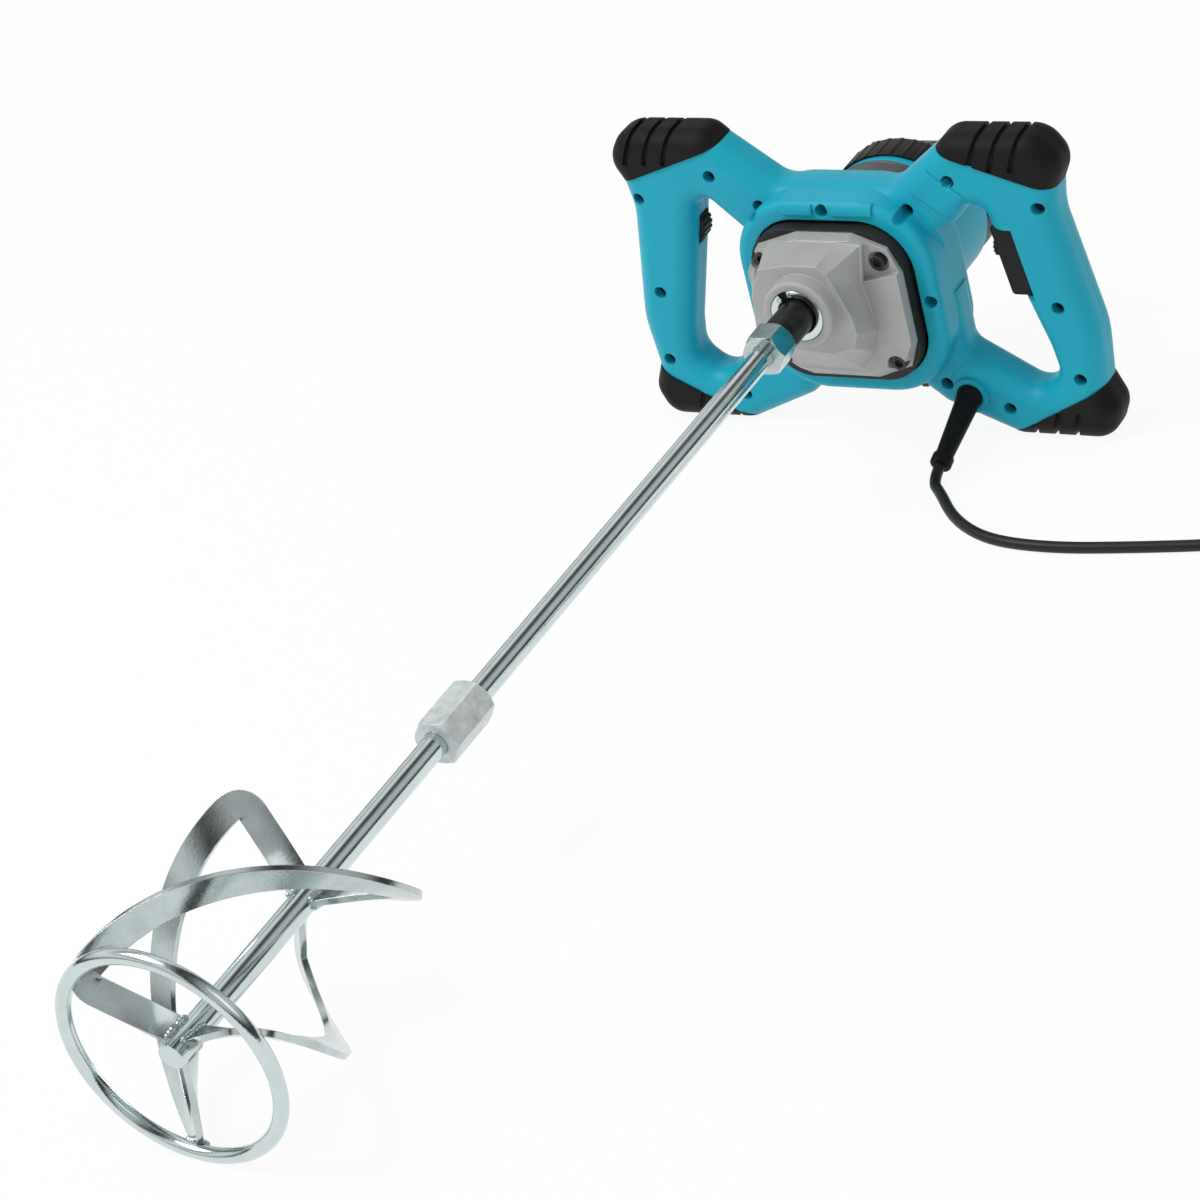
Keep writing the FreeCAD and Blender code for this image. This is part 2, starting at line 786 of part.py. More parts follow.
def rim_bosses(start, end):
    reach = mm.ring_inner_half + mm.rim_boss_radius - mm.rim_boss_reach
    return [rod_between(start, end, mm.rim_boss_radius, x * reach, z * reach)
            for x, z in ((0, 1), (1, 0), (0, -1), (-1, 0))]


def ring_part(blank, start, end):
    """Add the ring from start to end to a half of the frame, and open it."""
    ring = prism([square_wire(mm.ring_outer_half, mm.ring_outer_corner)], start, end)
    outer = min(start, end) if start < 0 or end < 0 else max(start, end)
    ring = ring.makeFillet(mm.collar_rounding, edges_at(ring, outer))
    opening = prism([square_wire(mm.ring_inner_half, mm.ring_inner_corner)], -mm.overrun,
                    mm.frame_depth + mm.overrun)
    low, high = min(start, end), max(start, end)
    bosses = rim_bosses(low + mm.collar_rounding, high - mm.collar_rounding)
    return blank.fuse(ring).cut(opening).fuse(bosses)


def plate_seat():
    half = mm.plate_half + mm.clearance
    return prism([square_wire(half, mm.plate_corner)], mm.plate_start, PLATE_BACK.number)


def channel(side):
    """Hollow of a handle between the two shells, with the bosses of the screws and the dial left standing."""
    rounding = CHANNEL_CORNER_SHARE * mm.frame_half_width
    corners = [placed(row, side)[:2] + (rounding,) for row in CHANNEL_SHARES]
    low, high = mm.frame_wall, mm.frame_depth - mm.frame_wall
    hollow = prism([outline_wire(corners)], low, high)
    hollow = hollow.cut([rod_between(low, high, mm.frame_screw_boss_radius, x, z) for x,
                         z in screw_places()])
    if side < 0:
        gap = (mm.speed_dial_width / 2 + mm.moving_clearance)
        x, z = speed_dial_place()
        for start, end in ((low, PARTING.number - gap), (PARTING.number + gap, high)):
            hollow = hollow.cut(rod_between(start, end, mm.speed_dial_boss_radius, x, z))
    return hollow


def speed_dial_place():
    across = mm.speed_dial_wall_place - mm.speed_dial_proud + mm.speed_dial_radius
    return -across, mm.speed_dial_height


def speed_dial_space():
    """Slot in the left grip's inner wall and the bores of the dial's axle."""
    x, z = speed_dial_place()
    half = mm.speed_dial_width / 2 + mm.moving_clearance
    radius = mm.speed_dial_radius + mm.moving_clearance
    middle = PARTING.number
    slot = rod_between(middle - half, middle + half, radius, x, z)
    reach = mm.speed_dial_width / 2 + mm.speed_dial_boss_radius + mm.clearance
    bore = rod_between(middle - reach, middle + reach, mm.speed_dial_axle_radius + mm.running_clearance, x,
                       z)
    return slot.fuse(bore)


def trigger_edge(height, setback=0):
    """Across place of the trigger's finger face at a height, or of a line behind it."""
    share = (mm.trigger_top - height) / (mm.trigger_top - mm.trigger_bottom)
    return mm.trigger_face_top + share * (mm.trigger_face_bottom - mm.trigger_face_top) + setback


def trigger_notch():
    """Opening in the right grip that the trigger stands in."""
    top = mm.trigger_top + mm.moving_clearance
    bottom = mm.trigger_bottom - mm.moving_clearance
    back = mm.trigger_depth - mm.notch_cover
    inside = mm.ring_outer_half
    corners = [(inside, top, 0), (trigger_edge(top, back), top, 0), (trigger_edge(bottom, back), bottom, 0),
               (inside, bottom, 0)]
    return prism([outline_wire(corners)], -mm.overrun, mm.frame_depth + mm.overrun)


def screw_holes():
    """Front counterbores and shank holes of the frame screws."""
    seat = PARTING.number - mm.frame_screw_grip
    deep = PARTING.number + mm.frame_screw_bite + mm.clearance
    holes = []
    for x, z in screw_places():
        holes.append(rod_between(-mm.overrun, seat, mm.frame_screw_head_radius + mm.clearance, x, z))
        holes.append(rod_between(seat, deep, mm.frame_screw_radius + mm.clearance, x, z))
    return holes


def frame_shells():
    blank = frame_blank()
    rear_blank = blank.mirror(Vector(0, PARTING.number, 0), Vector(0, 1, 0))
    front = ring_part(blank, PARTING.number, -mm.collar_reach)
    rear = ring_part(rear_blank, PARTING.number, mm.frame_depth)
    guard = rod_between(-mm.overrun, PARTING.number, mm.guard_root_radius + mm.clearance, mm.guard_across,
                        -mm.guard_drop)
    collar = rod_between(-mm.guard_collar_reach, mm.frame_wall, mm.guard_collar_radius, mm.guard_across,
                         -mm.guard_drop)
    lock = rod_between(PARTING.number, mm.frame_depth + mm.overrun, mm.lock_radius + mm.moving_clearance,
                       mm.lock_across, mm.lock_height)
    spaces = [channel(side) for side in SIDES]
    spaces += [plate_seat(), speed_dial_space(), trigger_notch(), guard, lock] + screw_holes()
    front = front.fuse(collar)
    far = COVER_REACH_SHARE
    edge = [placed(row) for row in COVER_EDGE_SHARES]
    bottom, top = placed((COVER_EDGE_SHARES[-1][0], -far)), placed((COVER_EDGE_SHARES[0][0], far))
    region = prism([outline_wire(edge + [bottom, placed((far, -far)), placed((far, far)), top])],
                   -mm.overrun, PARTING.number)
    feature("front_shell", front.cut(region).cut(spaces).removeSplitter())
    feature("switch_cover", front.common(region).cut(spaces).removeSplitter())
    feature("rear_shell", rear.cut(spaces).removeSplitter())


def frame_screws():
    seat = PARTING.number - mm.frame_screw_grip
    tip = PARTING.number + mm.frame_screw_bite
    profile = [(seat - mm.frame_screw_head_height, 0), (seat - mm.frame_screw_head_height,
                                                        mm.frame_screw_head_radius),
               (seat, mm.frame_screw_head_radius), (seat, mm.frame_screw_radius),
               (tip - mm.frame_screw_radius, mm.frame_screw_radius), (tip, 0)]
    slot = block(Vector(-mm.frame_screw_head_radius, seat - mm.frame_screw_head_height, -mm.clearance * 4),
                 Vector(mm.frame_screw_head_radius, seat - mm.frame_screw_head_height / 2,
                        mm.clearance * 4))
    screws = []
    for x, z in screw_places():
        slots = slot.copy()
        slots.translate(Vector(x, 0, z))
        crossed = slots.copy()
        crossed.rotate(Vector(x, 0, z), Vector(0, 1, 0), FULL_TURN / 4)
        screws.append(turned_solid(profile, x, z).cut([slots, crossed]))
    feature("frame_screws", Part.makeCompound(screws))


def stretched(places):
    """The same corners with both ends drawn out past the seam."""

    def past(corner, neighbour):
        away = Vector(corner[0] - neighbour[0], corner[1] - neighbour[1],
                      0).normalize() * (2 * mm.bumper_rounding)
        return (corner[0] + away.x, corner[1] + away.y, 0)

    return [past(places[0], places[1])] + places[1:-1] + [past(places[-1], places[-2])]


def beyond_seam(places):
    """Everything on the bumper's side of its seam."""
    first, last = [Vector(corner[0], 0, corner[1]) for corner in (places[0], places[-1])]
    far = mm.frame_half_width
    along = (last - first).normalize() * far
    out = Vector(-along.z, 0, along.x)
    if out.dot(Vector(places[1][0], 0, places[1][1]) - first) < 0:
        out = -out
    corners = [first - along, last + along, last + along + out, first - along + out]
    return prism([outline_wire([(corner.x, corner.z, 0) for corner in corners])], -far, far)


def bumper(label, side, seam, corners):
    """One corner bumper: full depth, rounded outside, seated on its seam, with grooves over its edge."""
    inner, outer = seam
    places = [placed(inner, side)] + [placed(row, side) for row in corners] + [placed(outer, side)]
    drawn = stretched(places)
    wire = outline_wire(drawn)
    low, high = -mm.bumper_proud, mm.frame_depth + mm.bumper_proud
    depth = mm.groove_depth
    solid = prism([wire], low, high)
    core = Part.makeFace([wire], "Part::FaceMakerBullseye").makeOffset2D(-depth)
    core.translate(Vector(0, low + depth, 0))
    core = core.extrude(Vector(0, high - low - 2 * depth, 0))
    solid, core = [
        blank.makeFillet(mm.bumper_rounding - inset, [
            edge for place in (low + inset, high - inset) for edge in
            edges_at(blank, place, lambda middle: line_gap(middle, drawn[0], drawn[-1]) > inset + NEAR)
        ]) for blank, inset in ((solid, 0), (core, depth))
    ]
    solid = solid.common(beyond_seam(places))
    sign = 1 if inner[1] > 0 else -1
    far = mm.frame_half_width
    middle = side * GROOVE_CENTRE_SHARE * mm.frame_half_width
    top = sign * (mm.frame_half_height - mm.groove_length)
    grooves = []
    for index in range(GROOVE_COUNT):
        x = middle + (index - (GROOVE_COUNT - 1) / 2) * mm.groove_spacing
        low_z, high_z = sorted((top, sign * far))
        slab = block(Vector(x - mm.groove_width / 2, -far, low_z), Vector(x + mm.groove_width / 2, far,
                                                                          high_z))
        slab.rotate(Vector(x, 0, sign * mm.frame_half_height), Vector(0, 1, 0), mm.groove_lean_angle)
        grooves.append(slab.cut(core))
    feature(label, solid.cut(grooves))


def bumpers():
    upper = (UPPER_SEAM_INNER_SHARES, UPPER_SEAM_OUTER_SHARES)
    lower = (LOWER_SEAM_OUTER_SHARES, LOWER_SEAM_INNER_SHARES)
    for side, word in zip(SIDES, ("left", "right")):
        bumper(f"bumper_upper_{word}", side, upper, UPPER_BUMPER_SHARES)
        bumper(f"bumper_lower_{word}", side, lower, LOWER_BUMPER_SHARES)


# Motor

def case_screw_places():
    return [(x * s.case_screw_across, z * s.case_screw_up) for x in SIDES for z in SIDES]


def cap_screw_places():
    return [(side * s.cap_screw_across, side * s.cap_screw_across) for side in SIDES]


def add_ears(body, places, radius, bore, back, front):
    """Round ears with a screw hole each."""
    for x, z in places:
        pad_between(body, lambda sketch: draw_circle(sketch, x, z, radius), back, front)
    for x, z in places:
        cut_between(body, lambda sketch: draw_circle(sketch, x, z, bore), back, front)


def motor_housing():
    body = new_body("motor_housing")
    turn_feature(body, ring_profile(PLATE_BACK, MOTOR_BACK, s.motor_radius - s.motor_wall, s.motor_radius))
    add_ears(body, case_screw_places(), s.ear_radius, s.case_screw_radius + s.clearance,
             PLATE_BACK + s.ear_length, PLATE_BACK)
    add_ears(body, cap_screw_places(), s.cap_ear_radius, s.cap_screw_radius + s.clearance,
             MOTOR_BACK, MOTOR_BACK - s.housing_ear_length)
    lay(body)


def above_roof(drop):
    """Everything over the end cap's sloping roof, or over a plane that far under it."""
    far = mm.motor_radius * 2
    space = block(Vector(-far, -far, 0), Vector(far, far, far))
    space.rotate(Vector(0, 0, 0), Vector(1, 0, 0), -mm.cap_roof_angle)
    space.translate(Vector(0, MOTOR_BACK.number, mm.motor_radius - mm.plate_lip - mm.roof_sink - drop))
    return space


def cap_blank(inset, radius):
    """The end cap's outside, or its inside when inset, under the sloping roof."""
    front, back = MOTOR_BACK.number, CAP_BACK.number - inset
    taper = front + mm.end_cap_taper_start - inset
    slope_end = taper + mm.end_cap_taper_length
    rear = mm.end_cap_back_radius - inset
    solid = turned_solid([(front, 0), (front, radius), (taper, radius), (slope_end, rear + mm.end_cap_wall),
                          (back, rear),
                          (back, 0)])
    return solid.cut(above_roof(inset / math.cos(math.radians(mm.cap_roof_angle))))


def motor_end_cap():
    front, back, wall = MOTOR_BACK.number, CAP_BACK.number, mm.end_cap_wall
    radius = mm.motor_radius - mm.plate_lip
    cup = mm.journal_bearing_radius + mm.clearance
    seat = REAR_BEARING_START.number
    ears = [rod_between(front, front + mm.cap_ear_length, mm.cap_ear_radius, x.number, z.number)
            for x, z in cap_screw_places()]
    inside = cap_blank(wall, radius - wall)
    cap = cap_blank(0, radius).fuse(ears).cut(inside)
    cap = cap.fuse(rod_between(seat, back - wall, cup + mm.bearing_cup_wall).cut(above_roof(wall)))
    spaces = [rod_between(seat, REAR_BEARING_END.number, cup)]
    for x, z in cap_screw_places():
        spaces.append(rod_between(front, back, mm.cap_screw_radius + mm.clearance, x.number, z.number))
    bore = mm.brush_cap_radius + mm.clearance
    spaces.append(Part.makeCylinder(bore, 2 * mm.motor_radius, Vector(-mm.motor_radius,
                                                                      COMMUTATOR_MIDDLE.number, 0),
                                    Vector(1, 0, 0)))
    half = mm.vent_width / 2
    for index in range(VENT_COUNT):
        slot = block(Vector(mm.vent_inner_radius, back - 2 * wall, -half), Vector(mm.vent_outer_radius,
                                                                                  back + wall, half))
        slot.rotate(Vector(0, 0, 0), Vector(0, 1, 0), FULL_TURN * (2 * index + 1) / (2 * VENT_COUNT))
        spaces.append(slot)
    for index in range(ROOF_VENT_COUNT):
        x = (index - (ROOF_VENT_COUNT - 1) / 2) * mm.roof_vent_spacing
        start = front + mm.roof_vent_start
        spaces.append(block(Vector(x - half, start, cup + mm.bearing_cup_wall + wall),
                            Vector(x + half, start + mm.roof_vent_length, mm.motor_radius)))
    feature("motor_end_cap", cap.cut(spaces))


def end_cap_screws():
    """Screws through the end cap's ears into the ears of the motor housing."""
    seat = MOTOR_BACK.number + mm.cap_ear_length
    head = seat + mm.cap_screw_head_height
    tip = head - mm.cap_screw_length
    screws = []
    for x, z in cap_screw_places():
        place = (x.number, z.number)
        socket = rod_between(seat + mm.cap_screw_head_height / 2, head, mm.cap_screw_radius, *place)
        screw = turned_solid([(tip, 0), (tip, mm.cap_screw_radius), (seat, mm.cap_screw_radius),
                              (seat, mm.cap_screw_head_radius), (head, mm.cap_screw_head_radius),
                              (head, 0)], *place)
        screws.append(screw.cut(socket))
    feature("end_cap_screws", Part.makeCompound(screws))


def armature():
    back = REAR_BEARING_END.number
    front = mm.armature_pinion_back
    step = REAR_BEARING_START.number - mm.commutator_gap
    rest = PLATE_BACK.number + mm.commutator_gap
    shaft = turned_solid([(back, 0), (back, mm.journal_radius), (step, mm.journal_radius),
                          (step, mm.shaft_radius),
                          (rest, mm.shaft_radius), (rest, mm.journal_radius), (front, mm.journal_radius),
                          (front, 0)])
    pinion = gear(ARMATURE_PINION_TEETH, mm.fast_module, PINION_SHIFT_SHARE,
                  front - mm.armature_pinion_width, front)
    pinion.rotate(Vector(0, 0, 0), Vector(0, -1, 0), math.degrees(MIDDLE_ANGLE))
    feature("armature_shaft", shaft.fuse(pinion).removeSplitter())

    core = new_body("armature_core")
    turn_feature(core, ring_profile(CORE_START, CORE_END, s.shaft_radius, s.armature_radius))
    slot = box_corners(s.armature_radius - s.armature_slot_depth, s.armature_radius + s.air_gap,
                       -s.armature_slot_width / 2, s.armature_slot_width / 2)
    cut = cut_between(core, lambda sketch: draw_polygon(sketch, slot), CORE_END, CORE_START)
    repeat_round(core, cut, ARMATURE_SLOT_COUNT)
    lay(core)

    ends = [turned_solid([(start, mm.shaft_radius), (start, mm.winding_radius - mm.winding_length / 2),
                          (start + mm.winding_length / 2, mm.winding_radius),
                          (start + mm.winding_length, mm.winding_radius - mm.winding_length / 2),
                          (start + mm.winding_length, mm.shaft_radius)])
            for start in (CORE_START.number - mm.winding_length, CORE_END.number)]
    feature("armature_windings", Part.makeCompound(ends))

    drum = new_body("commutator")
    end = COMMUTATOR_START + s.commutator_length
    turn_feature(drum, ring_profile(COMMUTATOR_START, end, s.shaft_radius, s.commutator_radius))
    slot = box_corners(s.commutator_radius - s.commutator_gap, s.commutator_radius + s.commutator_gap,
                       -s.commutator_slot / 2, s.commutator_slot / 2)
    cut = cut_between(drum, lambda sketch: draw_polygon(sketch, slot), end, COMMUTATOR_START)
    repeat_round(drum, cut, COMMUTATOR_SLOT_COUNT)
    lay(drum)

    fan = new_body("cooling_fan")
    hub = s.shaft_radius + s.fan_hub_wall
    fan_end = FAN_START + s.fan_width
    plate = fan_end - s.fan_plate
    turn_feature(fan, ((FAN_START, s.shaft_radius), (FAN_START, hub), (plate, hub), (plate, s.fan_radius),
                       (fan_end, s.fan_radius), (fan_end, s.shaft_radius)))
    sweep = box_corners(hub - s.fan_plate, s.fan_radius, -s.fan_blade / 2, s.fan_blade / 2)
    vane = pad_between(fan, lambda sketch: draw_polygon(sketch, sweep), plate, FAN_START)
    repeat_round(fan, vane, FAN_BLADE_COUNT)
    lay(fan)


def sector(inner, outer, start, end, first, last):
    """Part of a ring between two radii, two places along Y and two angles in degrees from +X."""
    face = Part.Face(Part.makePolygon([Vector(radius, place, 0) for radius, place in
                                       ((inner, start), (outer, start), (outer, end), (inner, end),
                                        (inner, start))]))
    solid = face.revolve(Vector(0, 0, 0), Vector(0, -1, 0), last - first)
    solid.rotate(Vector(0, 0, 0), Vector(0, -1, 0), first)
    return solid


def stator():
    start, end = CORE_START.number, CORE_END.number
    outer = mm.motor_radius - mm.motor_wall - mm.clearance
    bore = mm.armature_radius + mm.air_gap
    inner, rim = mm.coil_inner_radius, mm.coil_inner_radius + mm.coil_depth
    first, last = mm.coil_leg_start_angle, mm.coil_leg_end_angle
    core = rod_between(start, end, outer).cut(rod_between(start, end, bore))
    gap = mm.clearance
    windows = [sector(inner - gap, rim + gap, start, end, first - 1, FULL_TURN / 2 - first + 1),
               sector(inner - gap, rim + gap, start, end, FULL_TURN / 2 + first - 1, FULL_TURN - first + 1)]
    feature("stator_core", core.cut(windows))
    coils = []
    for turn in (0, FULL_TURN / 2):
        over = mm.coil_overhang
        front = sector(inner, rim, start - over, start - gap, -last, last)
        back = sector(inner, rim, end + gap, end + over, -last, last)
        legs = [sector(inner, rim, start - over, end + over, first, last),
                sector(inner, rim, start - over, end + over, -last, -first)]
        loop = front.fuse([back] + legs).removeSplitter()
        loop.rotate(Vector(0, 0, 0), Vector(0, 1, 0), turn)
        coils.append(loop)
    feature("field_coils", Part.makeCompound(coils))


def motor_bearings():
    bore = mm.journal_radius + mm.running_clearance
    rings = []
    for end in (PLATE_BACK.number, REAR_BEARING_END.number):
        start = end - mm.journal_bearing_width
        rings.append(turned_solid([(start, bore), (start, mm.journal_bearing_radius),
                                   (end, mm.journal_bearing_radius),
                                   (end, bore)]))
    feature("armature_bearings", Part.makeCompound(rings))


def brushes():
    middle = COMMUTATOR_MIDDLE.number
    across, high = mm.brush_width / 2, mm.brush_height / 2
    tip = mm.commutator_radius + mm.brush_gap
    carbon, holders, caps = [], [], []
    for side in SIDES:
        carbon.append(block(Vector(tip, middle - across, -high), Vector(tip + mm.brush_length,
                                                                        middle + across, high)))
        wall, gap = mm.holder_wall, mm.clearance
        outer = block(Vector(tip + mm.holder_start, middle - across - wall, -high - wall),
                      Vector(mm.holder_end, middle + across + wall, high + wall))
        bore = block(Vector(0, middle - across - gap, -high - gap), Vector(mm.motor_radius,
                                                                           middle + across + gap,
                                                                           high + gap))
        holders.append(outer.cut(bore))
        caps.append(Part.makeCylinder(mm.brush_cap_radius,
                                      mm.motor_radius - mm.plate_lip + mm.brush_cap_proud - mm.holder_end,
                                      Vector(mm.holder_end, middle, 0), Vector(1, 0, 0)))
        if side < 0:
            for group in (carbon, holders, caps):
                group[-1] = group[-1].mirror(Vector(0, 0, 0), Vector(1, 0, 0))
    feature("carbon_brushes", Part.makeCompound(carbon))
    feature("brush_holders", Part.makeCompound(holders))
    feature("brush_caps", Part.makeCompound(caps))


# Gear train

def involute(angle):
    return math.tan(angle) - angle


def gear_radii(teeth, module, shift):
    pitch = module * teeth / 2
    return pitch + module * (ADDENDUM_SHARE + shift), pitch - module * (DEDENDUM_SHARE - shift)


def gear(teeth, module, shift, start, end):
    """Involute gear from start to end along Y, about the origin, with a tooth on +X."""
    pressure = math.radians(mm.pressure_angle)
    pitch = module * teeth / 2
    base = pitch * math.cos(pressure)
    tip, root = gear_radii(teeth, module, shift)
    half = (math.pi / 2 + 2 * shift * math.tan(pressure)) / teeth - mm.tooth_thinning / pitch / 2

    def flank(radius):
        return half + involute(pressure) - involute(math.acos(min(base / radius, 1)))

    def at(radius, angle):
        return Vector(radius * math.cos(angle), 0, radius * math.sin(angle))

    low = max(base, root)
    middle = (low + tip) / 2
    edges = []
    step = 2 * math.pi / teeth
    for tooth in range(teeth):
        turn = tooth * step
        rows = [(low, flank(low)), (middle, flank(middle)), (tip, flank(tip))]
        rise = [at(radius, turn - angle) for radius, angle in rows]
        fall = [at(radius, turn + angle) for radius, angle in reversed(rows)]
        feet = [at(root, turn - flank(low)), at(root, turn + flank(low))]
        following = at(root, turn + step - flank(low))
        if root < base:
            edges.append(Part.LineSegment(feet[0], rise[0]).toShape())
        edges.append(Part.Arc(*rise).toShape())
        edges.append(Part.Arc(rise[-1], at(tip, turn), fall[0]).toShape())
        edges.append(Part.Arc(*fall).toShape())
        if root < base:
            edges.append(Part.LineSegment(fall[-1], feet[1]).toShape())
            begin = feet[1]
        else:
            begin, following = fall[-1], at(low, turn + step - flank(low))
        edges.append(Part.Arc(begin, at(min(root, low), turn + step / 2), following).toShape())
    return prism([Part.Wire(edges)], start, end)


def pair_distance(one, other, module):
    return module * (one + other) / 2


# The middle shaft stands where both gear pairs have their own centre distance
FAST_DISTANCE = pair_distance(ARMATURE_PINION_TEETH, MIDDLE_GEAR_TEETH, mm.fast_module)
SLOW_DISTANCE = pair_distance(MIDDLE_PINION_TEETH, SPINDLE_GEAR_TEETH, mm.slow_module)
MIDDLE_Z = (mm.spindle_rise ** 2 + FAST_DISTANCE ** 2 - SLOW_DISTANCE ** 2) / (2 * mm.spindle_rise)
MIDDLE_X = math.sqrt(FAST_DISTANCE ** 2 - MIDDLE_Z ** 2)
MIDDLE_ANGLE = math.atan2(MIDDLE_Z, MIDDLE_X)
SLOW_ANGLE = math.atan2(MIDDLE_Z - mm.spindle_rise, MIDDLE_X)


def meshed(solid, x, z, angle):
    """Turn a gear to an angle in radians and carry it to its axis."""
    solid.rotate(Vector(0, 0, 0), Vector(0, -1, 0), math.degrees(angle))
    solid.translate(Vector(x, 0, z))
    return solid


def gear_train():
    back = mm.middle_gear_width - mm.middle_gear_start
    wheel = gear(MIDDLE_GEAR_TEETH, mm.fast_module, -PINION_SHIFT_SHARE, -mm.middle_gear_start, back)
    wheel = wheel.cut(rod_between(-mm.overrun, mm.overrun, mm.middle_shaft_radius))
    gap = math.pi / MIDDLE_GEAR_TEETH
    feature("intermediate_gear", meshed(wheel, MIDDLE_X, MIDDLE_Z, MIDDLE_ANGLE + math.pi + gap))

    journal, body = mm.middle_journal_radius, mm.middle_shaft_radius
    rear_end = mm.plate_start + mm.middle_bearing_width
    front_end = CASE_INNER.number - mm.middle_bearing_width
    shoulder_back = mm.plate_start - mm.moving_clearance
    shoulder_front = CASE_INNER.number + mm.moving_clearance
    root = gear_radii(MIDDLE_PINION_TEETH, mm.slow_module, PINION_SHIFT_SHARE)[1]
    pinion_back = -mm.middle_pinion_start
    pinion_front = pinion_back - mm.middle_pinion_width
    shaft = turned_solid([(rear_end, 0), (rear_end, journal), (shoulder_back, journal),
                          (shoulder_back, body),
                          (pinion_back, body), (pinion_back, root), (shoulder_front, root),
                          (shoulder_front, journal),
                          (front_end, journal), (front_end, 0)])
    pinion = gear(MIDDLE_PINION_TEETH, mm.slow_module, PINION_SHIFT_SHARE, pinion_front, pinion_back)
    pinion.rotate(Vector(0, 0, 0), Vector(0, -1, 0), math.degrees(SLOW_ANGLE + math.pi))
    shaft = shaft.fuse(pinion).removeSplitter()
    shaft.translate(Vector(MIDDLE_X, 0, MIDDLE_Z))
    feature("intermediate_shaft", shaft)

    bearings = []
    bore = journal + mm.running_clearance
    for start in (mm.plate_start, front_end):
        end = start + mm.middle_bearing_width
        bearings.append(turned_solid([(start, bore), (start, mm.middle_bearing_radius),
                                      (end, mm.middle_bearing_radius), (end, bore)], MIDDLE_X, MIDDLE_Z))
    feature("intermediate_bearings", Part.makeCompound(bearings))

    gear_back = -mm.spindle_gear_start
    gear_front = gear_back - mm.spindle_gear_width
    large = gear(SPINDLE_GEAR_TEETH, mm.slow_module, -PINION_SHIFT_SHARE, gear_front, gear_back)
    large = large.cut(rod_between(gear_front, gear_back, mm.spindle_seat_radius))
    large = meshed(large, 0, mm.spindle_rise, SLOW_ANGLE + math.pi / SPINDLE_GEAR_TEETH)
    feature("spindle_gear", large.cut(key_solid()))


def key_solid():
    """Square key half in the spindle and half in its gear."""
    top = mm.spindle_rise + mm.spindle_seat_radius
    middle = -mm.spindle_gear_start - mm.spindle_gear_width / 2
    return block(Vector(-mm.key_width / 2, middle - mm.key_length / 2, top - mm.key_height / 2),
                 Vector(mm.key_width / 2, middle + mm.key_length / 2, top + mm.key_height / 2))


def spindle():
    back = mm.plate_start - mm.plate_boss_length + mm.needle_length
    seat_back = mm.plate_start - mm.plate_boss_length - mm.moving_clearance
    collar = -mm.spindle_gear_start - mm.spindle_gear_width
    front = -mm.spindle_reach
    bore = mm.rod_radius + mm.clearance
    depth = front + mm.rod_thread_depth
    solid = turned_solid([(back, 0), (back, mm.spindle_journal_radius),
                          (seat_back, mm.spindle_journal_radius),
                          (seat_back, mm.spindle_seat_radius), (collar, mm.spindle_seat_radius),
                          (collar, mm.spindle_radius), (front, mm.spindle_radius), (front, bore),
                          (depth, bore),
                          (depth, 0)], 0, mm.spindle_rise)
    feature("spindle", solid.cut(key_solid()))
    feature("spindle_key", key_solid())
    needle_front = mm.plate_start - mm.plate_boss_length
    needle_bore = mm.spindle_journal_radius + mm.running_clearance
    needle = turned_solid([(needle_front, needle_bore), (needle_front, mm.needle_radius),
                           (back, mm.needle_radius),
                           (back, needle_bore)], 0, mm.spindle_rise)
    start, end = BEARING_FRONT.number, CASE_INNER.number
    ball_bore = mm.spindle_radius + mm.running_clearance
    ball = turned_solid([(start, ball_bore), (start, mm.spindle_bearing_radius),
                         (end, mm.spindle_bearing_radius),
                         (end, ball_bore)], 0, mm.spindle_rise)
    feature("spindle_bearings", Part.makeCompound([needle, ball]))
    seal_front = s.seal_sink - s.hub_reach
    turned("spindle_seal", ring_profile(seal_front, seal_front + s.seal_depth,
                                        s.spindle_radius + s.moving_clearance,
                                        s.seal_radius), ZERO, s.spindle_rise)


def gear_plate():
    plate = prism([square_wire(mm.plate_half, mm.plate_corner)], mm.plate_start, PLATE_BACK.number)
    boss_front = mm.plate_start - mm.plate_boss_length
    plate = plate.fuse(rod_between(boss_front, PLATE_BACK.number, mm.needle_radius + mm.plate_boss_wall, 0,
                                   mm.spindle_rise))
    seat = PLATE_BACK.number - mm.journal_bearing_width
    tip = gear_radii(ARMATURE_PINION_TEETH, mm.fast_module, PINION_SHIFT_SHARE)[0]
    holes = [rod_between(seat, PLATE_BACK.number, mm.journal_bearing_radius),
             rod_between(boss_front, seat, tip + mm.moving_clearance),
             rod_between(boss_front, boss_front + mm.needle_length, mm.needle_radius, 0, mm.spindle_rise),
             rod_between(mm.plate_start, mm.plate_start + mm.middle_bearing_width, mm.middle_bearing_radius,
                         MIDDLE_X, MIDDLE_Z)]
    for x, z in case_screw_places():
        holes.append(rod_between(boss_front, PLATE_BACK.number, mm.case_screw_radius + mm.clearance,
                                 x.number, z.number))
    feature("gear_plate", plate.cut(holes))


def case_wire(shares, place):
    corners = [Vector(across * mm.case_half, place, up * mm.case_half) for across, up in shares]
    return Part.makePolygon(corners + corners[:1])


def case_facets(foot_shares, foot, top_shares, top):
    """Solid with flat facets from its foot to its top."""
    return Part.makeLoft([case_wire(foot_shares, foot), case_wire(top_shares, top)], True, True)


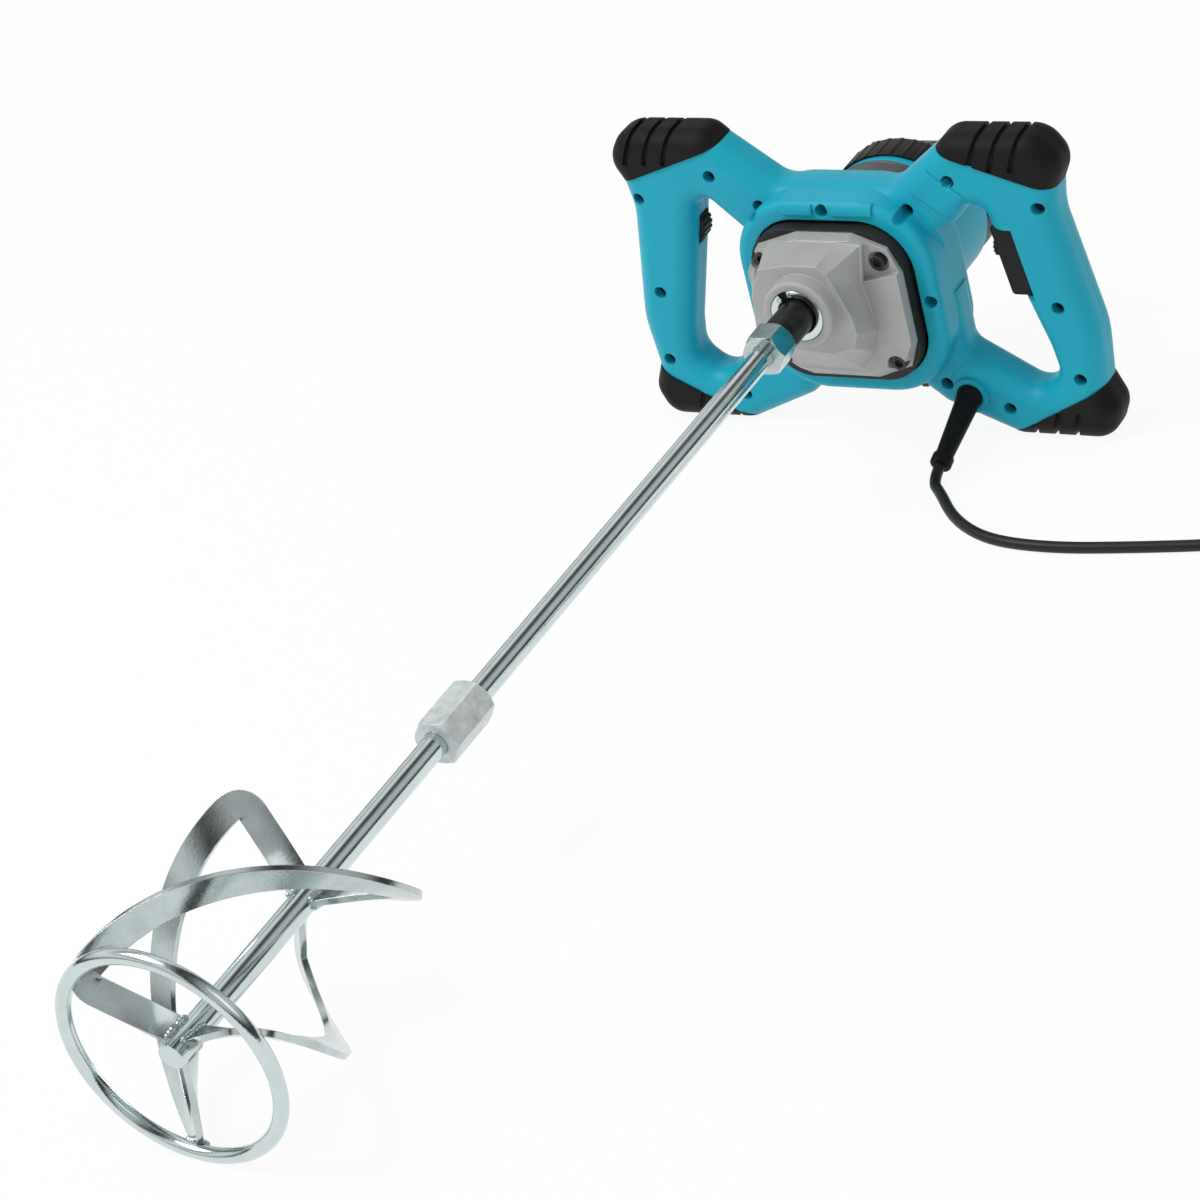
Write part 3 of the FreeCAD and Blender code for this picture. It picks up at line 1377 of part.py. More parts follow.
def gear_case():
    front = -mm.case_reach
    base = prism([square_wire(mm.case_half, mm.case_corner)], mm.plate_start, -mm.case_shoulder_reach)
    shoulder = case_facets(CASE_SHOULDER_SHARES, mm.case_shoulder_lap - mm.case_shoulder_reach,
                           CASE_FRONT_SHARES, front)
    nose = case_facets(NOSE_FOOT_SHARES, front + mm.nose_sink, NOSE_TOP_SHARES, -mm.nose_top_reach)
    hub = rod_between(-mm.hub_reach, front, mm.hub_radius, 0, mm.spindle_rise)
    hub = hub.makeFillet(mm.hub_rounding, edges_at(hub, -mm.hub_reach))
    seat = front + mm.case_screw_pocket_depth
    spaces = [
        rod_between(CASE_INNER.number, mm.plate_start, mm.case_cavity_radius),
        rod_between(BEARING_FRONT.number, CASE_INNER.number, mm.spindle_bearing_radius, 0, mm.spindle_rise),
        rod_between(-mm.hub_reach, CASE_INNER.number, mm.spindle_radius + mm.moving_clearance, 0,
                    mm.spindle_rise),
        rod_between(-mm.hub_reach, mm.seal_sink + mm.seal_depth - mm.hub_reach, mm.seal_radius, 0,
                    mm.spindle_rise),
        rod_between(CASE_INNER.number - mm.middle_bearing_width, CASE_INNER.number,
                    mm.middle_bearing_radius,
                    MIDDLE_X, MIDDLE_Z),
    ]
    shoulder = shoulder.cut(prism([case_wire(CASE_HOLLOW_SHARES, 0)], front - mm.overrun,
                                  front + mm.case_hollow_depth))
    for x, z in case_screw_places():
        spaces.append(rod_between(front - mm.overrun, seat, mm.case_screw_pocket_radius, x.number,
                                  z.number))
        spaces.append(rod_between(seat, mm.plate_start, mm.case_screw_radius + mm.clearance, x.number,
                                  z.number))
    feature("gear_case", base.fuse([shoulder, nose, hub]).cut(spaces).removeSplitter())
    screws = []
    tip = PLATE_BACK.number + mm.ear_length - mm.plate_lip
    for x, z in case_screw_places():
        head = seat - mm.case_screw_head_height
        socket = rod_between(head, seat - mm.case_screw_head_height / 2, mm.case_screw_radius, x.number,
                             z.number)
        screw = turned_solid([(head, 0), (head, mm.case_screw_head_radius),
                              (seat, mm.case_screw_head_radius),
                              (seat, mm.case_screw_radius), (tip, mm.case_screw_radius), (tip, 0)],
                              x.number, z.number)
        screws.append(screw.cut(socket))
    feature("gear_case_screws", Part.makeCompound(screws))


# Paddle

def hexagon_nut(label, flats, back, front):
    """Hexagon nut on the rod, with the corners of both ends turned off."""
    body = new_body(label)
    pad_between(body, lambda sketch: draw_polygon(sketch, hexagon(flats)), back, front, ZERO,
                s.spindle_rise)
    bore = s.rod_radius + s.clearance
    cut_between(body, lambda sketch: draw_circle(sketch, ZERO, ZERO, bore), back, front, ZERO,
                s.spindle_rise)
    corner = flats / 2 / math.cos(math.pi / HEXAGON_SIDES) + s.clearance
    reach = flats / 2 - s.clearance
    for end, inner in ((back, back - s.nut_chamfer), (front, front + s.nut_chamfer)):
        cutter = ((end, reach), (end, corner), (inner, corner))
        sketch = sketch_on(body, "YZ_Plane", up=s.spindle_rise)
        draw_polygon(sketch, cutter)
        groove = body.newObject("PartDesign::Groove", "Corners")
        groove.Profile = sketch
        groove.ReferenceAxis = (sketch, ["H_Axis"])
        groove.Angle = FULL_TURN
    lay(body)


def rods():
    hexagon_nut("jam_nut", s.jam_nut_flats, -s.spindle_reach, NUT_FRONT)
    half = s.coupling_length / 2
    hexagon_nut("coupling_nut", s.coupling_flats, COUPLING_Y + half, COUPLING_Y - half)
    gap = s.rod_join_gap / 2
    start = s.rod_thread_depth - s.spindle_reach
    back, front = COUPLING_Y + gap, COUPLING_Y - gap
    turned("upper_rod", ((start, ZERO), (start, s.rod_radius), (back, s.rod_radius), (back, ZERO)),
           ZERO, s.spindle_rise)
    turned("lower_rod", ((front, ZERO), (front, s.rod_radius), (-s.paddle_reach, s.rod_radius),
                         (-s.paddle_reach, ZERO)), ZERO, s.spindle_rise)


def blade_rows():
    """Middle line of a blade, as rows of distance from the axis, turn about it and heading in the strip.

    It goes out along one arm, round its bend, down the run, round the other bend and back in.
    """
    run, bend = mm.blade_radius - mm.strip_width / 2, mm.strip_bend_radius
    sweep = math.radians(mm.blade_sweep_angle)
    way = math.hypot(run, mm.blade_length / sweep)
    root, elbow = mm.rod_radius / 2, run - bend
    half = [(root + (elbow - root) * index / ARM_SECTIONS, 0, 0) for index in range(ARM_SECTIONS)]
    for index in range(BEND_SECTIONS):
        heading = math.pi / 2 * index / BEND_SECTIONS
        half.append((elbow + bend * math.sin(heading), bend * (1 - math.cos(heading)) / way, heading))
    first = bend / way
    rows = list(half)
    for index in range(RUN_SECTIONS + 1):
        rows.append((run, first + (sweep - 2 * first) * index / RUN_SECTIONS, math.pi / 2))
    return rows + [(out, sweep - turn, math.pi - heading) for out, turn, heading in reversed(half)]


def blade(label, start):
    """Flat strip on a screw surface round the rod, welded to the rod at both ends and seated on the ring."""
    sweep = math.radians(mm.blade_sweep_angle)
    run = mm.blade_radius - mm.strip_width / 2
    sections = []
    for out, turn, heading in blade_rows():
        angle = math.radians(start) + turn
        outward = Vector(math.cos(angle), 0, math.sin(angle))
        forward = Vector(-math.sin(angle), 0, math.cos(angle))
        rise = mm.blade_length / 2 - mm.blade_length * turn / sweep
        drawn = 1 - BLADE_SPLAY_SHARE * (1 - out / run)
        centre = outward * out + Vector(0, BLADE_MIDDLE_Y.number + rise * drawn, mm.spindle_rise)
        along = (outward + Vector(0, rise * BLADE_SPLAY_SHARE / run, 0)).normalize()
        around = (forward * out - Vector(0, mm.blade_length / sweep * drawn, 0)).normalize()
        face = along.cross(around).normalize()
        way = along * math.cos(heading) + around * math.sin(heading)
        side = face.cross(way).normalize() * (mm.strip_width / 2)
        thick = face * (mm.strip_thickness / 2)
        corners = [centre + side + thick, centre + side - thick, centre - side - thick,
                   centre - side + thick]
        sections.append(Part.makePolygon(corners + corners[:1]))
    stops = [0, ARM_SECTIONS, ARM_SECTIONS + BEND_SECTIONS]
    stops += [len(sections) - 1 - stop for stop in reversed(stops)]
    arm, *others = [Part.makeLoft(sections[first:last + 1], True, False)
                    for first, last in zip(stops, stops[1:])]
    strip = arm.fuse(others).removeSplitter()
    rod = rod_between(-mm.paddle_reach, 0, mm.rod_radius, 0, mm.spindle_rise)
    feature(label, strip.cut([rod, ring_wire(mm.paddle_wire_radius + mm.weld_gap)]))


def ring_wire(radius):
    return Part.makeTorus(mm.paddle_ring_radius, radius, Vector(0, RING_Y.number, mm.spindle_rise),
                          Vector(0, 1, 0))


def paddle():
    for index in range(BLADE_COUNT):
        blade(f"blade_{index + 1}", mm.blade_start_angle + FULL_TURN * index / BLADE_COUNT)
    feature("paddle_ring", ring_wire(mm.paddle_wire_radius))


# Trigger side

def notched_dial(radius, count, start, end):
    """Thumbwheel about the Y axis with small notches round its rim."""
    wheel = rod_between(start, end, radius)
    notches = []
    for index in range(count):
        turn = 2 * math.pi * index / count
        notches.append(rod_between(start, end, mm.dial_notch, radius * math.cos(turn),
                                   radius * math.sin(turn)))
    return wheel.cut(notches)


def trigger_parts():
    low, high = PARTING.number - mm.trigger_width / 2, PARTING.number + mm.trigger_width / 2
    top, bottom, depth = mm.trigger_top, mm.trigger_bottom, mm.trigger_depth
    corners = [(trigger_edge(top), top, mm.trigger_rounding), (trigger_edge(top, depth), top, 0),
               (trigger_edge(bottom, depth), bottom, 0), (trigger_edge(bottom), bottom,
                                                          mm.trigger_rounding)]
    solid = prism([outline_wire(corners)], low, high)
    face = [edge for place in (low, high) for edge in
            edges_at(solid, place, lambda middle: middle.x < trigger_edge(middle.z, depth / 2))]
    solid = solid.makeFillet(mm.trigger_rounding / 2, face)
    height = mm.trigger_dial_height
    start = trigger_edge(height) - mm.trigger_dial_proud
    well = Part.makeCylinder(mm.trigger_dial_radius + mm.moving_clearance,
                             mm.trigger_dial_length + mm.moving_clearance,
                             Vector(start, PARTING.number, height), Vector(1, 0, 0))
    feature("trigger", solid.cut(well))
    dial = notched_dial(mm.trigger_dial_radius, DIAL_NOTCH_COUNT, 0, mm.trigger_dial_length)
    dial.rotate(Vector(0, 0, 0), Vector(0, 0, 1), -FULL_TURN / 4)
    dial.translate(Vector(start, PARTING.number, height))
    feature("trigger_dial", dial)
    behind = depth + mm.trigger_travel + mm.switch_gap
    corners = [(trigger_edge(mm.switch_top, behind), mm.switch_top, 0),
               (trigger_edge(mm.switch_top, behind + mm.switch_depth), mm.switch_top, 0),
               (trigger_edge(mm.switch_bottom, behind + mm.switch_depth), mm.switch_bottom, 0),
               (trigger_edge(mm.switch_bottom, behind), mm.switch_bottom, 0)]
    feature("switch_body", prism([outline_wire(corners)], mm.frame_wall, mm.frame_depth - mm.frame_wall))
    flange_end = s.frame_depth - s.frame_wall - s.moving_clearance
    flange_start = flange_end - s.lock_flange
    end = s.frame_depth + s.lock_proud
    edge = s.lock_radius - s.plate_lip
    turned("lock_button", ((flange_start, ZERO), (flange_start, s.lock_flange_radius),
                           (flange_end, s.lock_flange_radius),
                           (flange_end, s.lock_radius), (end - s.plate_lip, s.lock_radius), (end, edge),
                           (end, ZERO)),
           s.lock_across, s.lock_height)


def speed_parts():
    half = mm.speed_dial_width / 2
    reach = half + mm.speed_dial_boss_radius
    x, z = speed_dial_place()
    wheel = notched_dial(mm.speed_dial_radius, SPEED_NOTCH_COUNT, PARTING.number - half,
                         PARTING.number + half)
    wheel = wheel.fuse(rod_between(PARTING.number - reach, PARTING.number + reach,
                                   mm.speed_dial_axle_radius))
    wheel.translate(Vector(x, 0, z))
    feature("speed_dial", wheel)
    body = new_body("speed_module")
    sides = box_corners(-s.module_outer, -s.module_inner, s.module_bottom, s.module_top)
    pad_between(body, lambda sketch: draw_polygon(sketch, sides), s.frame_depth - s.frame_wall,
                s.frame_wall)
    lay(body)


# Cord and what it comes out of

def guard_axis():
    dip = math.radians(mm.guard_dip_angle)
    return Vector(0, -math.cos(dip), -math.sin(dip))


def guard_start():
    return Vector(mm.guard_across, -mm.guard_collar_reach, -mm.guard_drop)


def guard_end():
    return guard_start() + guard_axis() * mm.guard_length


def cable_guard():
    start, axis = guard_start(), guard_axis()
    root = rod_between(-mm.guard_collar_reach, mm.guard_root_length - mm.guard_collar_reach,
                       mm.guard_root_radius,
                       mm.guard_across, -mm.guard_drop)
    ball = Part.makeSphere(mm.guard_root_radius, start)
    sleeve = Part.makeCone(mm.guard_base_radius, mm.guard_tip_radius, mm.guard_length, start, axis)
    bead_start = guard_end() - axis * mm.guard_bead_length
    bead = Part.makeCylinder(mm.guard_bead_radius, mm.guard_bead_length, bead_start, axis)
    bead = bead.makeFillet(mm.guard_bead_radius - mm.guard_tip_radius,
                           [edge for edge in bead.Edges if edge.isClosed()
                                                                       and len(edge.Vertexes) == 1])
    feature("cable_guard", root.fuse([ball, sleeve, bead]))


def cord_clamp():
    back = s.frame_depth - s.frame_wall
    front = back - s.clamp_thickness
    body = new_body("cord_clamp")
    half, high = s.clamp_breadth / 2, s.clamp_length / 2
    pad_between(body, lambda sketch: draw_polygon(sketch, box_corners(-half, half, -high, high)), back,
                front,
                s.clamp_across, -s.clamp_drop)
    places = [(ZERO, sign * s.clamp_screw_spacing / 2) for sign in SIDES]
    for x, z in places:
        bore = s.clamp_screw_radius + s.clearance
        cut_between(body, lambda sketch: draw_circle(sketch, x, z, bore), back, front, s.clamp_across,
                    -s.clamp_drop)
    lay(body)
    head = front.number - mm.clamp_screw_head_height
    screws = []
    for _, z in places:
        screws.append(turned_solid([(head, 0), (head, mm.clamp_screw_head_radius),
                                    (front.number, mm.clamp_screw_head_radius),
                                    (front.number, mm.clamp_screw_radius),
                                    (back.number, mm.clamp_screw_radius), (back.number, 0)],
                                   mm.clamp_across, z.number - mm.clamp_drop))
    feature("clamp_screws", Part.makeCompound(screws))


def cord_route():
    """Corners of the free cord's route: straight out of the guard, then along the floor to the coil."""
    start = lain(guard_end())
    ahead = lain(guard_end() + guard_axis() * mm.cord_lead_length)
    wide, thick = mm.frame_half_width, mm.cord_diameter
    laid = [Vector(x * wide, y * wide + SHIFT.number, z * thick) for x, y, z in CORD_ROUTE_SHARES]
    lead = coil_entry() - Vector(COIL_LEAD_SHARE * wide, 0, 0)
    return [start, ahead] + laid + [lead, coil_entry()]


def coil_entry():
    """Where the free cord becomes the coil, which lies on its tie."""
    x, y = [share * mm.frame_half_width for share in COIL_ENTRY_SHARES]
    return Vector(x, y + SHIFT.number, mm.cord_diameter / 2 + mm.tie_gap + mm.tie_thickness)


def route_edges(route):
    """Straight runs joined by tangent arcs, each as large as its two runs allow, and the arcs' radii."""
    edges, radii = [], []
    last = route[0]
    for before, here, after in zip(route, route[1:], route[2:]):
        back, ahead = before - here, after - here
        reach = CORD_RUN_SHARE * min(back.Length, ahead.Length)
        half = back.getAngle(ahead) / 2
        radius = reach * math.tan(half)
        back.normalize()
        ahead.normalize()
        middle = (back + ahead).normalize()
        start, end = here + back * reach, here + ahead * reach
        edges.append(Part.LineSegment(last, start).toShape())
        edges.append(Part.Arc(start, here + middle * (radius / math.sin(half) - radius), end).toShape())
        radii.append(radius)
        last = end
    edges.append(Part.LineSegment(last, route[-1]).toShape())
    return edges, radii


def tube(edges, start, direction):
    profile = Part.Wire(Part.Circle(start, direction, mm.cord_diameter / 2).toShape())
    return Part.Wire(edges).makePipeShell([profile], True, False)


def free_cord():
    route = cord_route()
    edges, radii = route_edges(route)
    solid = tube(edges, route[0], route[1] - route[0])
    length = sum(edge.Length for edge in edges)
    print("cord length", round(length, 1), "arc radii", [round(radius, 1) for radius in radii])
    print("cord volume share", round(solid.Volume / (length * math.pi * mm.cord_diameter ** 2 / 4), 4))
    feature("cord", solid, laid=False)


def coil_state(turn):
    """Radius and height of the coil's line after some turns: in, up a layer in half a turn, and out."""
    turns = COIL_TURNS_PER_LAYER
    climb = turn - turns
    if climb <= 0:
        return mm.coil_outer_radius - mm.coil_pitch * turn, 0
    inner = mm.coil_outer_radius - mm.coil_pitch * turns
    half = 0.5
    if climb >= half:
        return inner + mm.coil_pitch * (climb - half), mm.coil_pitch
    share = climb / half
    dip = mm.coil_pitch * half * share * (share - 1)
    return inner + dip, mm.coil_pitch * share * share * (3 - 2 * share)


def coil_centre():
    return coil_entry() + Vector(mm.cord_diameter, mm.coil_outer_radius, 0)


def coil_point(turn):
    radius, height = coil_state(turn)
    angle = 2 * math.pi * turn - math.pi / 2
    return coil_centre() + Vector(radius * math.cos(angle), radius * math.sin(angle), height)


def coil_tangent(turn):
    step = 1e-5
    return (coil_point(turn + step) - coil_point(turn - step)).normalize()


def biarc(start, leave, end, arrive):
    """Two arcs from start to end that keep both directions."""
    chord = end - start
    total = leave + arrive
    spread = 2 * (1 - leave.dot(arrive))
    along = chord.dot(total)
    square = chord.dot(chord)
    if spread < NEAR:
        reach = square / (2 * along)
    else:
        reach = (math.sqrt(along * along + spread * square) - along) / spread
    one, other = start + leave * reach, end - arrive * reach
    middle = (one + other) / 2

    def arc(begin, corner, finish):
        back, ahead = begin - corner, finish - corner
        half = back.getAngle(ahead) / 2
        radius = back.Length * math.tan(half)
        inward = (back.normalize() + ahead.normalize()).normalize()
        return Part.Arc(begin, corner + inward * (radius / math.sin(half) - radius), finish).toShape()

    return [arc(start, one, middle), arc(middle, other, end)]


def coil_end_turn():
    return 2 * COIL_TURNS_PER_LAYER + 0.25


def cord_coil():
    """The length that is put away: one tube that winds in, climbs and winds out again."""
    quarter = 0.25
    steps = round(coil_end_turn() / quarter)
    turns = [index * quarter for index in range(steps + 1)]
    entry = coil_entry()
    first = coil_point(0)
    edges = [Part.LineSegment(entry, first).toShape()]
    leave = (first - entry).normalize()
    for one, other in zip(turns, turns[1:]):
        arrive = coil_tangent(other)
        if other == turns[-1]:
            arrive = Vector(0, 1, 0)
        edges += biarc(coil_point(one), leave, coil_point(other), arrive)
        leave = arrive
    last = coil_point(turns[-1])
    end = Vector(last.x, last.y + mm.cord_tail_length, mm.plug_height / 2)
    edges += biarc(last, leave, end, leave)
    solid = tube(edges, entry, first - entry)
    length = sum(edge.Length for edge in edges)
    samples = 48
    count = round(coil_end_turn() * samples)
    points = [coil_point(index / samples) for index in range(count + 1)]
    gaps = [points[i].distanceToPoint(points[j]) for i in range(count) for j in range(i + samples // 2,
                                                                                      count + 1)]
    print("coil length", round(length, 1), "least gap", round(min(gaps) - mm.cord_diameter, 2))
    print("coil volume share", round(solid.Volume / (length * math.pi * mm.cord_diameter ** 2 / 4), 4))
    feature("cord_coil", solid, laid=False)
    return end


def cord_tie():
    """Flat band round the coil's turns at one place."""
    radius, gap = mm.cord_diameter / 2, mm.tie_gap
    first = mm.tie_angle / FULL_TURN + 0.25
    passes = [first + lap for lap in range(2 * COIL_TURNS_PER_LAYER)]
    reaches = [coil_state(turn)[0] for turn in passes]
    inner = min(reaches) - radius - gap
    outer = max(reaches) + radius + gap
    low, high = -radius - gap, mm.coil_pitch + radius + gap
    wall = mm.tie_thickness
    half = mm.tie_width / 2
    band = block(Vector(inner - wall, -half, low - wall), Vector(outer + wall, half, high + wall))
    band = band.cut(block(Vector(inner, -half, low), Vector(outer, half, high)))
    band.rotate(Vector(0, 0, 0), Vector(0, 0, 1), mm.tie_angle)
    band.translate(coil_centre())
    feature("cord_tie", band, laid=False)


def plug(start):
    """Two pin plug at the cord's end, lying flat on the floor with its pins along +Y."""
    height = start.z
    neck = Part.makeCone(mm.cord_diameter / 2 + mm.holder_wall, mm.plug_neck_radius, mm.plug_neck_length,
                         start, Vector(0, 1, 0))
    back = start.y + mm.plug_neck_length
    low = Vector(start.x - mm.plug_width / 2, back, height - mm.plug_height / 2)
    body = block(low, low + Vector(mm.plug_width, mm.plug_length, mm.plug_height))
    along = [edge for edge in body.Edges if abs(edge.Vertexes[0].Y - edge.Vertexes[1].Y) > NEAR]
    body = body.makeFillet(mm.plug_rounding, along)
    feature("plug", body.fuse(neck), laid=False)
    face = back + mm.plug_length
    pins = []
    for side in SIDES:
        pin = rod_between(face, face + mm.plug_pin_length, mm.plug_pin_radius,
                          start.x + side * mm.plug_pin_spacing / 2, height)
        pins.append(pin.makeFillet(mm.plug_pin_rounding, edges_at(pin, face + mm.plug_pin_length)))
    feature("plug_pins", Part.makeCompound(pins), laid=False)


frame_shells()
frame_screws()
bumpers()
motor_housing()
motor_end_cap()
end_cap_screws()
armature()
stator()
motor_bearings()
brushes()
gear_plate()
gear_case()
gear_train()
spindle()
rods()
paddle()
trigger_parts()
speed_parts()
cable_guard()
cord_clamp()
free_cord()
plug(cord_coil())
cord_tie()

doc.recompute()
for item in doc.Objects:
    if "Invalid" in item.State or "Error" in item.State:
        raise RuntimeError(f"{item.Label} failed: {item.State}")
for piece in nodes:
    if piece.Shape.isNull() or not piece.Shape.isValid():
        raise RuntimeError(f"{piece.Label} has no valid shape")
os.makedirs("parts", exist_ok=True)
for piece in nodes:
    piece.Shape.exportStep(f"parts/{piece.Label}.step")
print(len(nodes), "nodes")
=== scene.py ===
"""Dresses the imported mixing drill: finishes, fine pieces, the cord and a plain stage."""

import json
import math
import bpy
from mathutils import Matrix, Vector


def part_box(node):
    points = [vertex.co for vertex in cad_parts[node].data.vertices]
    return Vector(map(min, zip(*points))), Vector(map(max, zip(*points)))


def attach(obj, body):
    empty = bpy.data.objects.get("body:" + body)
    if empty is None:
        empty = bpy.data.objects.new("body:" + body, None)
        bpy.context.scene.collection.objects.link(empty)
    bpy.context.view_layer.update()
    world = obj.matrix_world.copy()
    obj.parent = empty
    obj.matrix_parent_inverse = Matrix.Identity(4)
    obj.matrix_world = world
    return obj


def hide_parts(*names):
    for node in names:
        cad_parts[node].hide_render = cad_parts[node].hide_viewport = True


bl_info = {
    "name": "Mixing drill",
    "version": (1, 0, 0),
    "blender": (4, 5, 0),
    "location": "View3D > Sidebar > Mixing drill",
    "description": "Dresses the two handled mixing drill with its finishes, fine pieces, cord and stage",
    "category": "Object",
}

import bmesh
import bpy
from bpy.props import FloatProperty, FloatVectorProperty, IntProperty, PointerProperty
from bpy.types import Operator, Panel, PropertyGroup
from mathutils import Matrix, Vector

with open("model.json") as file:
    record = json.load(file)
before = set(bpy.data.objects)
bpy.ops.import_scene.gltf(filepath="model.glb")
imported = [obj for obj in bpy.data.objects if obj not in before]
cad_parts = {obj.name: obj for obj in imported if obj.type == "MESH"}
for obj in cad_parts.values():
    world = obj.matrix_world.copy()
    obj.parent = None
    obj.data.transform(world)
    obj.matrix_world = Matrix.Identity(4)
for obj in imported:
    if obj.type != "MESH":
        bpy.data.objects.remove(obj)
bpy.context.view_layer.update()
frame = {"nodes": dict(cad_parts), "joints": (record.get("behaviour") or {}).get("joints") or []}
NODES = frame["nodes"]
JOINTS = {joint["name"]: joint for joint in frame["joints"]}

# The tool's own axes: X across the handles, Y back along the drive and Z up, from the motor's axis at the
# frame's face
DRIVE = Vector(JOINTS["armature_spin"]["axis"]).normalized()
LIE = math.atan2(DRIVE.z, DRIVE.y)
TOOL = Matrix.Translation(Vector(JOINTS["armature_spin"]["pos_m"])) @ Matrix.Rotation(LIE, 4, "X")
SPINDLE_RISE = (TOOL.inverted() @ Vector(JOINTS["spindle_spin"]["pos_m"])).z
SPINDLE_AXIS = TOOL @ Matrix.Translation((0, 0, SPINDLE_RISE))

# The cord's route: out of its guard in the tool's own axes, then along the floor to the coil. The places on
# the floor are measured from the floor under the motor's axis at the frame's face.
GUARD_END = Vector((0.0605, -0.050315, -0.079119))
GUARD_WAY = Vector((0.0, -0.9563, -0.2924))
CORD_LEAD = 0.012
FLOOR_ROUTE = (
    (0.0700, -0.06598, 0.00422),
    (0.0840, -0.08454, 0.0031),
    (0.0990, -0.09846, 0.0031),
    (0.1160, -0.10803, 0.0031),
    (0.1360, -0.11194, 0.0031),
    (0.1620, -0.11165, 0.0031),
    (0.1910, -0.10687, 0.0031),
    (0.2261, -0.10034, 0.00329),
    (0.2510, -0.09556, 0.00428),
    (0.2690, -0.09527, 0.0047),
    (0.2900, -0.09527, 0.0047),
)
COIL_MIDDLE = (0.2962, -0.04827, 0.0047)
CORD_TAIL = ((0.3415, -0.03828, 0.0115), (0.3415, -0.01827, 0.0085), (0.3415, -0.00827, 0.0085))
# The coil's points in a turn, and the parts of a turn in which it climbs a layer and runs on at its end
TURN_POINTS = 16
COIL_CLIMB = 0.5
COIL_EXTRA = 0.25
CORD_EXIT = TOOL @ GUARD_END


def on_floor(place):
    """A place of the cord's route in the shared frame."""
    return Vector((place[0], TOOL.translation.y + place[1], place[2]))


# Sizes and colours


class DrillSizes(PropertyGroup):
    """Sizes of the pieces that are added to the drill"""

    rim_width: FloatProperty(
        name="Edge softness", description="Radius of the soft moulded edges", default=0.0009,
        min=0.0001, max=0.004, unit="LENGTH", precision=4)
    bead_radius: FloatProperty(
        name="Weld bead", description="Radius of one drop of a weld bead", default=0.0017,
        min=0.0005, max=0.004, unit="LENGTH", precision=4)
    rod_radius: FloatProperty(
        name="Rod radius", description="Radius of the mixing rod", default=0.00625,
        unit="LENGTH", precision=5)
    blade_start: FloatProperty(
        name="Blade start", description="Turn of the first blade's upper arm about the rod",
        default=math.radians(0.5), subtype="ANGLE")
    blade_sweep: FloatProperty(
        name="Blade sweep", description="Turn of a blade from its upper arm to its lower arm",
        default=math.radians(142), subtype="ANGLE")
    upper_weld: FloatProperty(
        name="Upper weld", description="Upper arms at the rod, in front of the frame's face", default=0.5610,
        unit="LENGTH", precision=4)
    lower_weld: FloatProperty(
        name="Lower weld", description="Lower arms at the rod, in front of the frame's face", default=0.6588,
        unit="LENGTH", precision=4)
    ring_weld: FloatProperty(
        name="Ring weld", description="Welds on the ring, in front of the frame's face", default=0.6677,
        unit="LENGTH", precision=4)
    ring_weld_radius: FloatProperty(
        name="Ring weld radius", description="Distance of the ring's welds from the rod's axis",
        default=0.0517, unit="LENGTH", precision=4)
    clip_inner: FloatProperty(
        name="Clip inside", description="Inner radius of the retaining ring in the hub", default=0.0112,
        unit="LENGTH", precision=4)
    clip_outer: FloatProperty(
        name="Clip outside", description="Outer radius of the retaining ring in the hub", default=0.0151,
        unit="LENGTH", precision=4)
    hub_mouth: FloatProperty(
        name="Hub mouth", description="Mouth of the hub, in front of the frame's face", default=0.0600,
        unit="LENGTH", precision=4)
    grille_start: FloatProperty(
        name="Grille start", description="Front edge of the black roof grille, behind the frame's face",
        default=0.069, unit="LENGTH", precision=4)
    grille_end: FloatProperty(
        name="Grille end", description="Back edge of the black roof grille, behind the frame's face",
        default=0.088, unit="LENGTH", precision=4)
    plate_start: FloatProperty(
        name="Plate start", description="Front edge of the bare plate, behind the frame's face",
        default=0.047, unit="LENGTH", precision=4)
    plate_end: FloatProperty(
        name="Plate end", description="Back edge of the bare plate, behind the frame's face", default=0.063,
        unit="LENGTH", precision=4)
    plate_half_angle: FloatProperty(
        name="Plate half angle", description="Half of the angle that the bare plate takes round the motor",
        default=math.radians(33), subtype="ANGLE")
    cord_diameter: FloatProperty(
        name="Cord diameter", description="Outside diameter of the mains cord", default=0.0062,
        unit="LENGTH", precision=4)
    coil_radius: FloatProperty(
        name="Coil radius", description="Radius of the coil's outer turn", default=0.047,
        unit="LENGTH", precision=4)
    coil_pitch: FloatProperty(
        name="Coil pitch", description="Distance from one turn of the coil to the next", default=0.0068,
        unit="LENGTH", precision=4)
    band_edge: FloatProperty(
        name="Band edge", description="Radius of the coil band's edges", default=0.00035,
        unit="LENGTH", precision=5)
    coil_layer_turns: IntProperty(
        name="Turns in a layer", description="Turns of the coil in each of its two layers", default=3, min=1)


class DrillColours(PropertyGroup):
    """Colours of the drill's finishes"""

    frame: FloatVectorProperty(
        name="Frame", description="Moulded frame and motor housing", subtype="COLOR",
        default=(0.005, 0.405, 0.545), min=0, max=1)
    bumper: FloatVectorProperty(
        name="Bumpers", description="Rubber corner bumpers", subtype="COLOR",
        default=(0.0070, 0.0070, 0.0068), min=0, max=1)
    black: FloatVectorProperty(
        name="Black plastic", description="Trigger, dials, end cap and plug", subtype="COLOR",
        default=(0.0050, 0.0050, 0.0050), min=0, max=1)
    casting: FloatVectorProperty(
        name="Casting", description="Cast gear case", subtype="COLOR",
        default=(0.455, 0.460, 0.450), min=0, max=1)
    zinc: FloatVectorProperty(
        name="Plated steel", description="Rods, nuts, blades and ring", subtype="COLOR",
        default=(0.62, 0.715, 0.715), min=0, max=1)
    copper: FloatVectorProperty(
        name="Copper", description="Windings and commutator", subtype="COLOR",
        default=(0.70, 0.27, 0.12), min=0, max=1)
    floor: FloatVectorProperty(
        name="Floor", description="Floor under the tool", subtype="COLOR",
        default=(0.97, 0.97, 0.97), min=0, max=1)


# Shaders

# Waves of a wave texture in one unit of length at a scale of 1
WAVES = 3.183


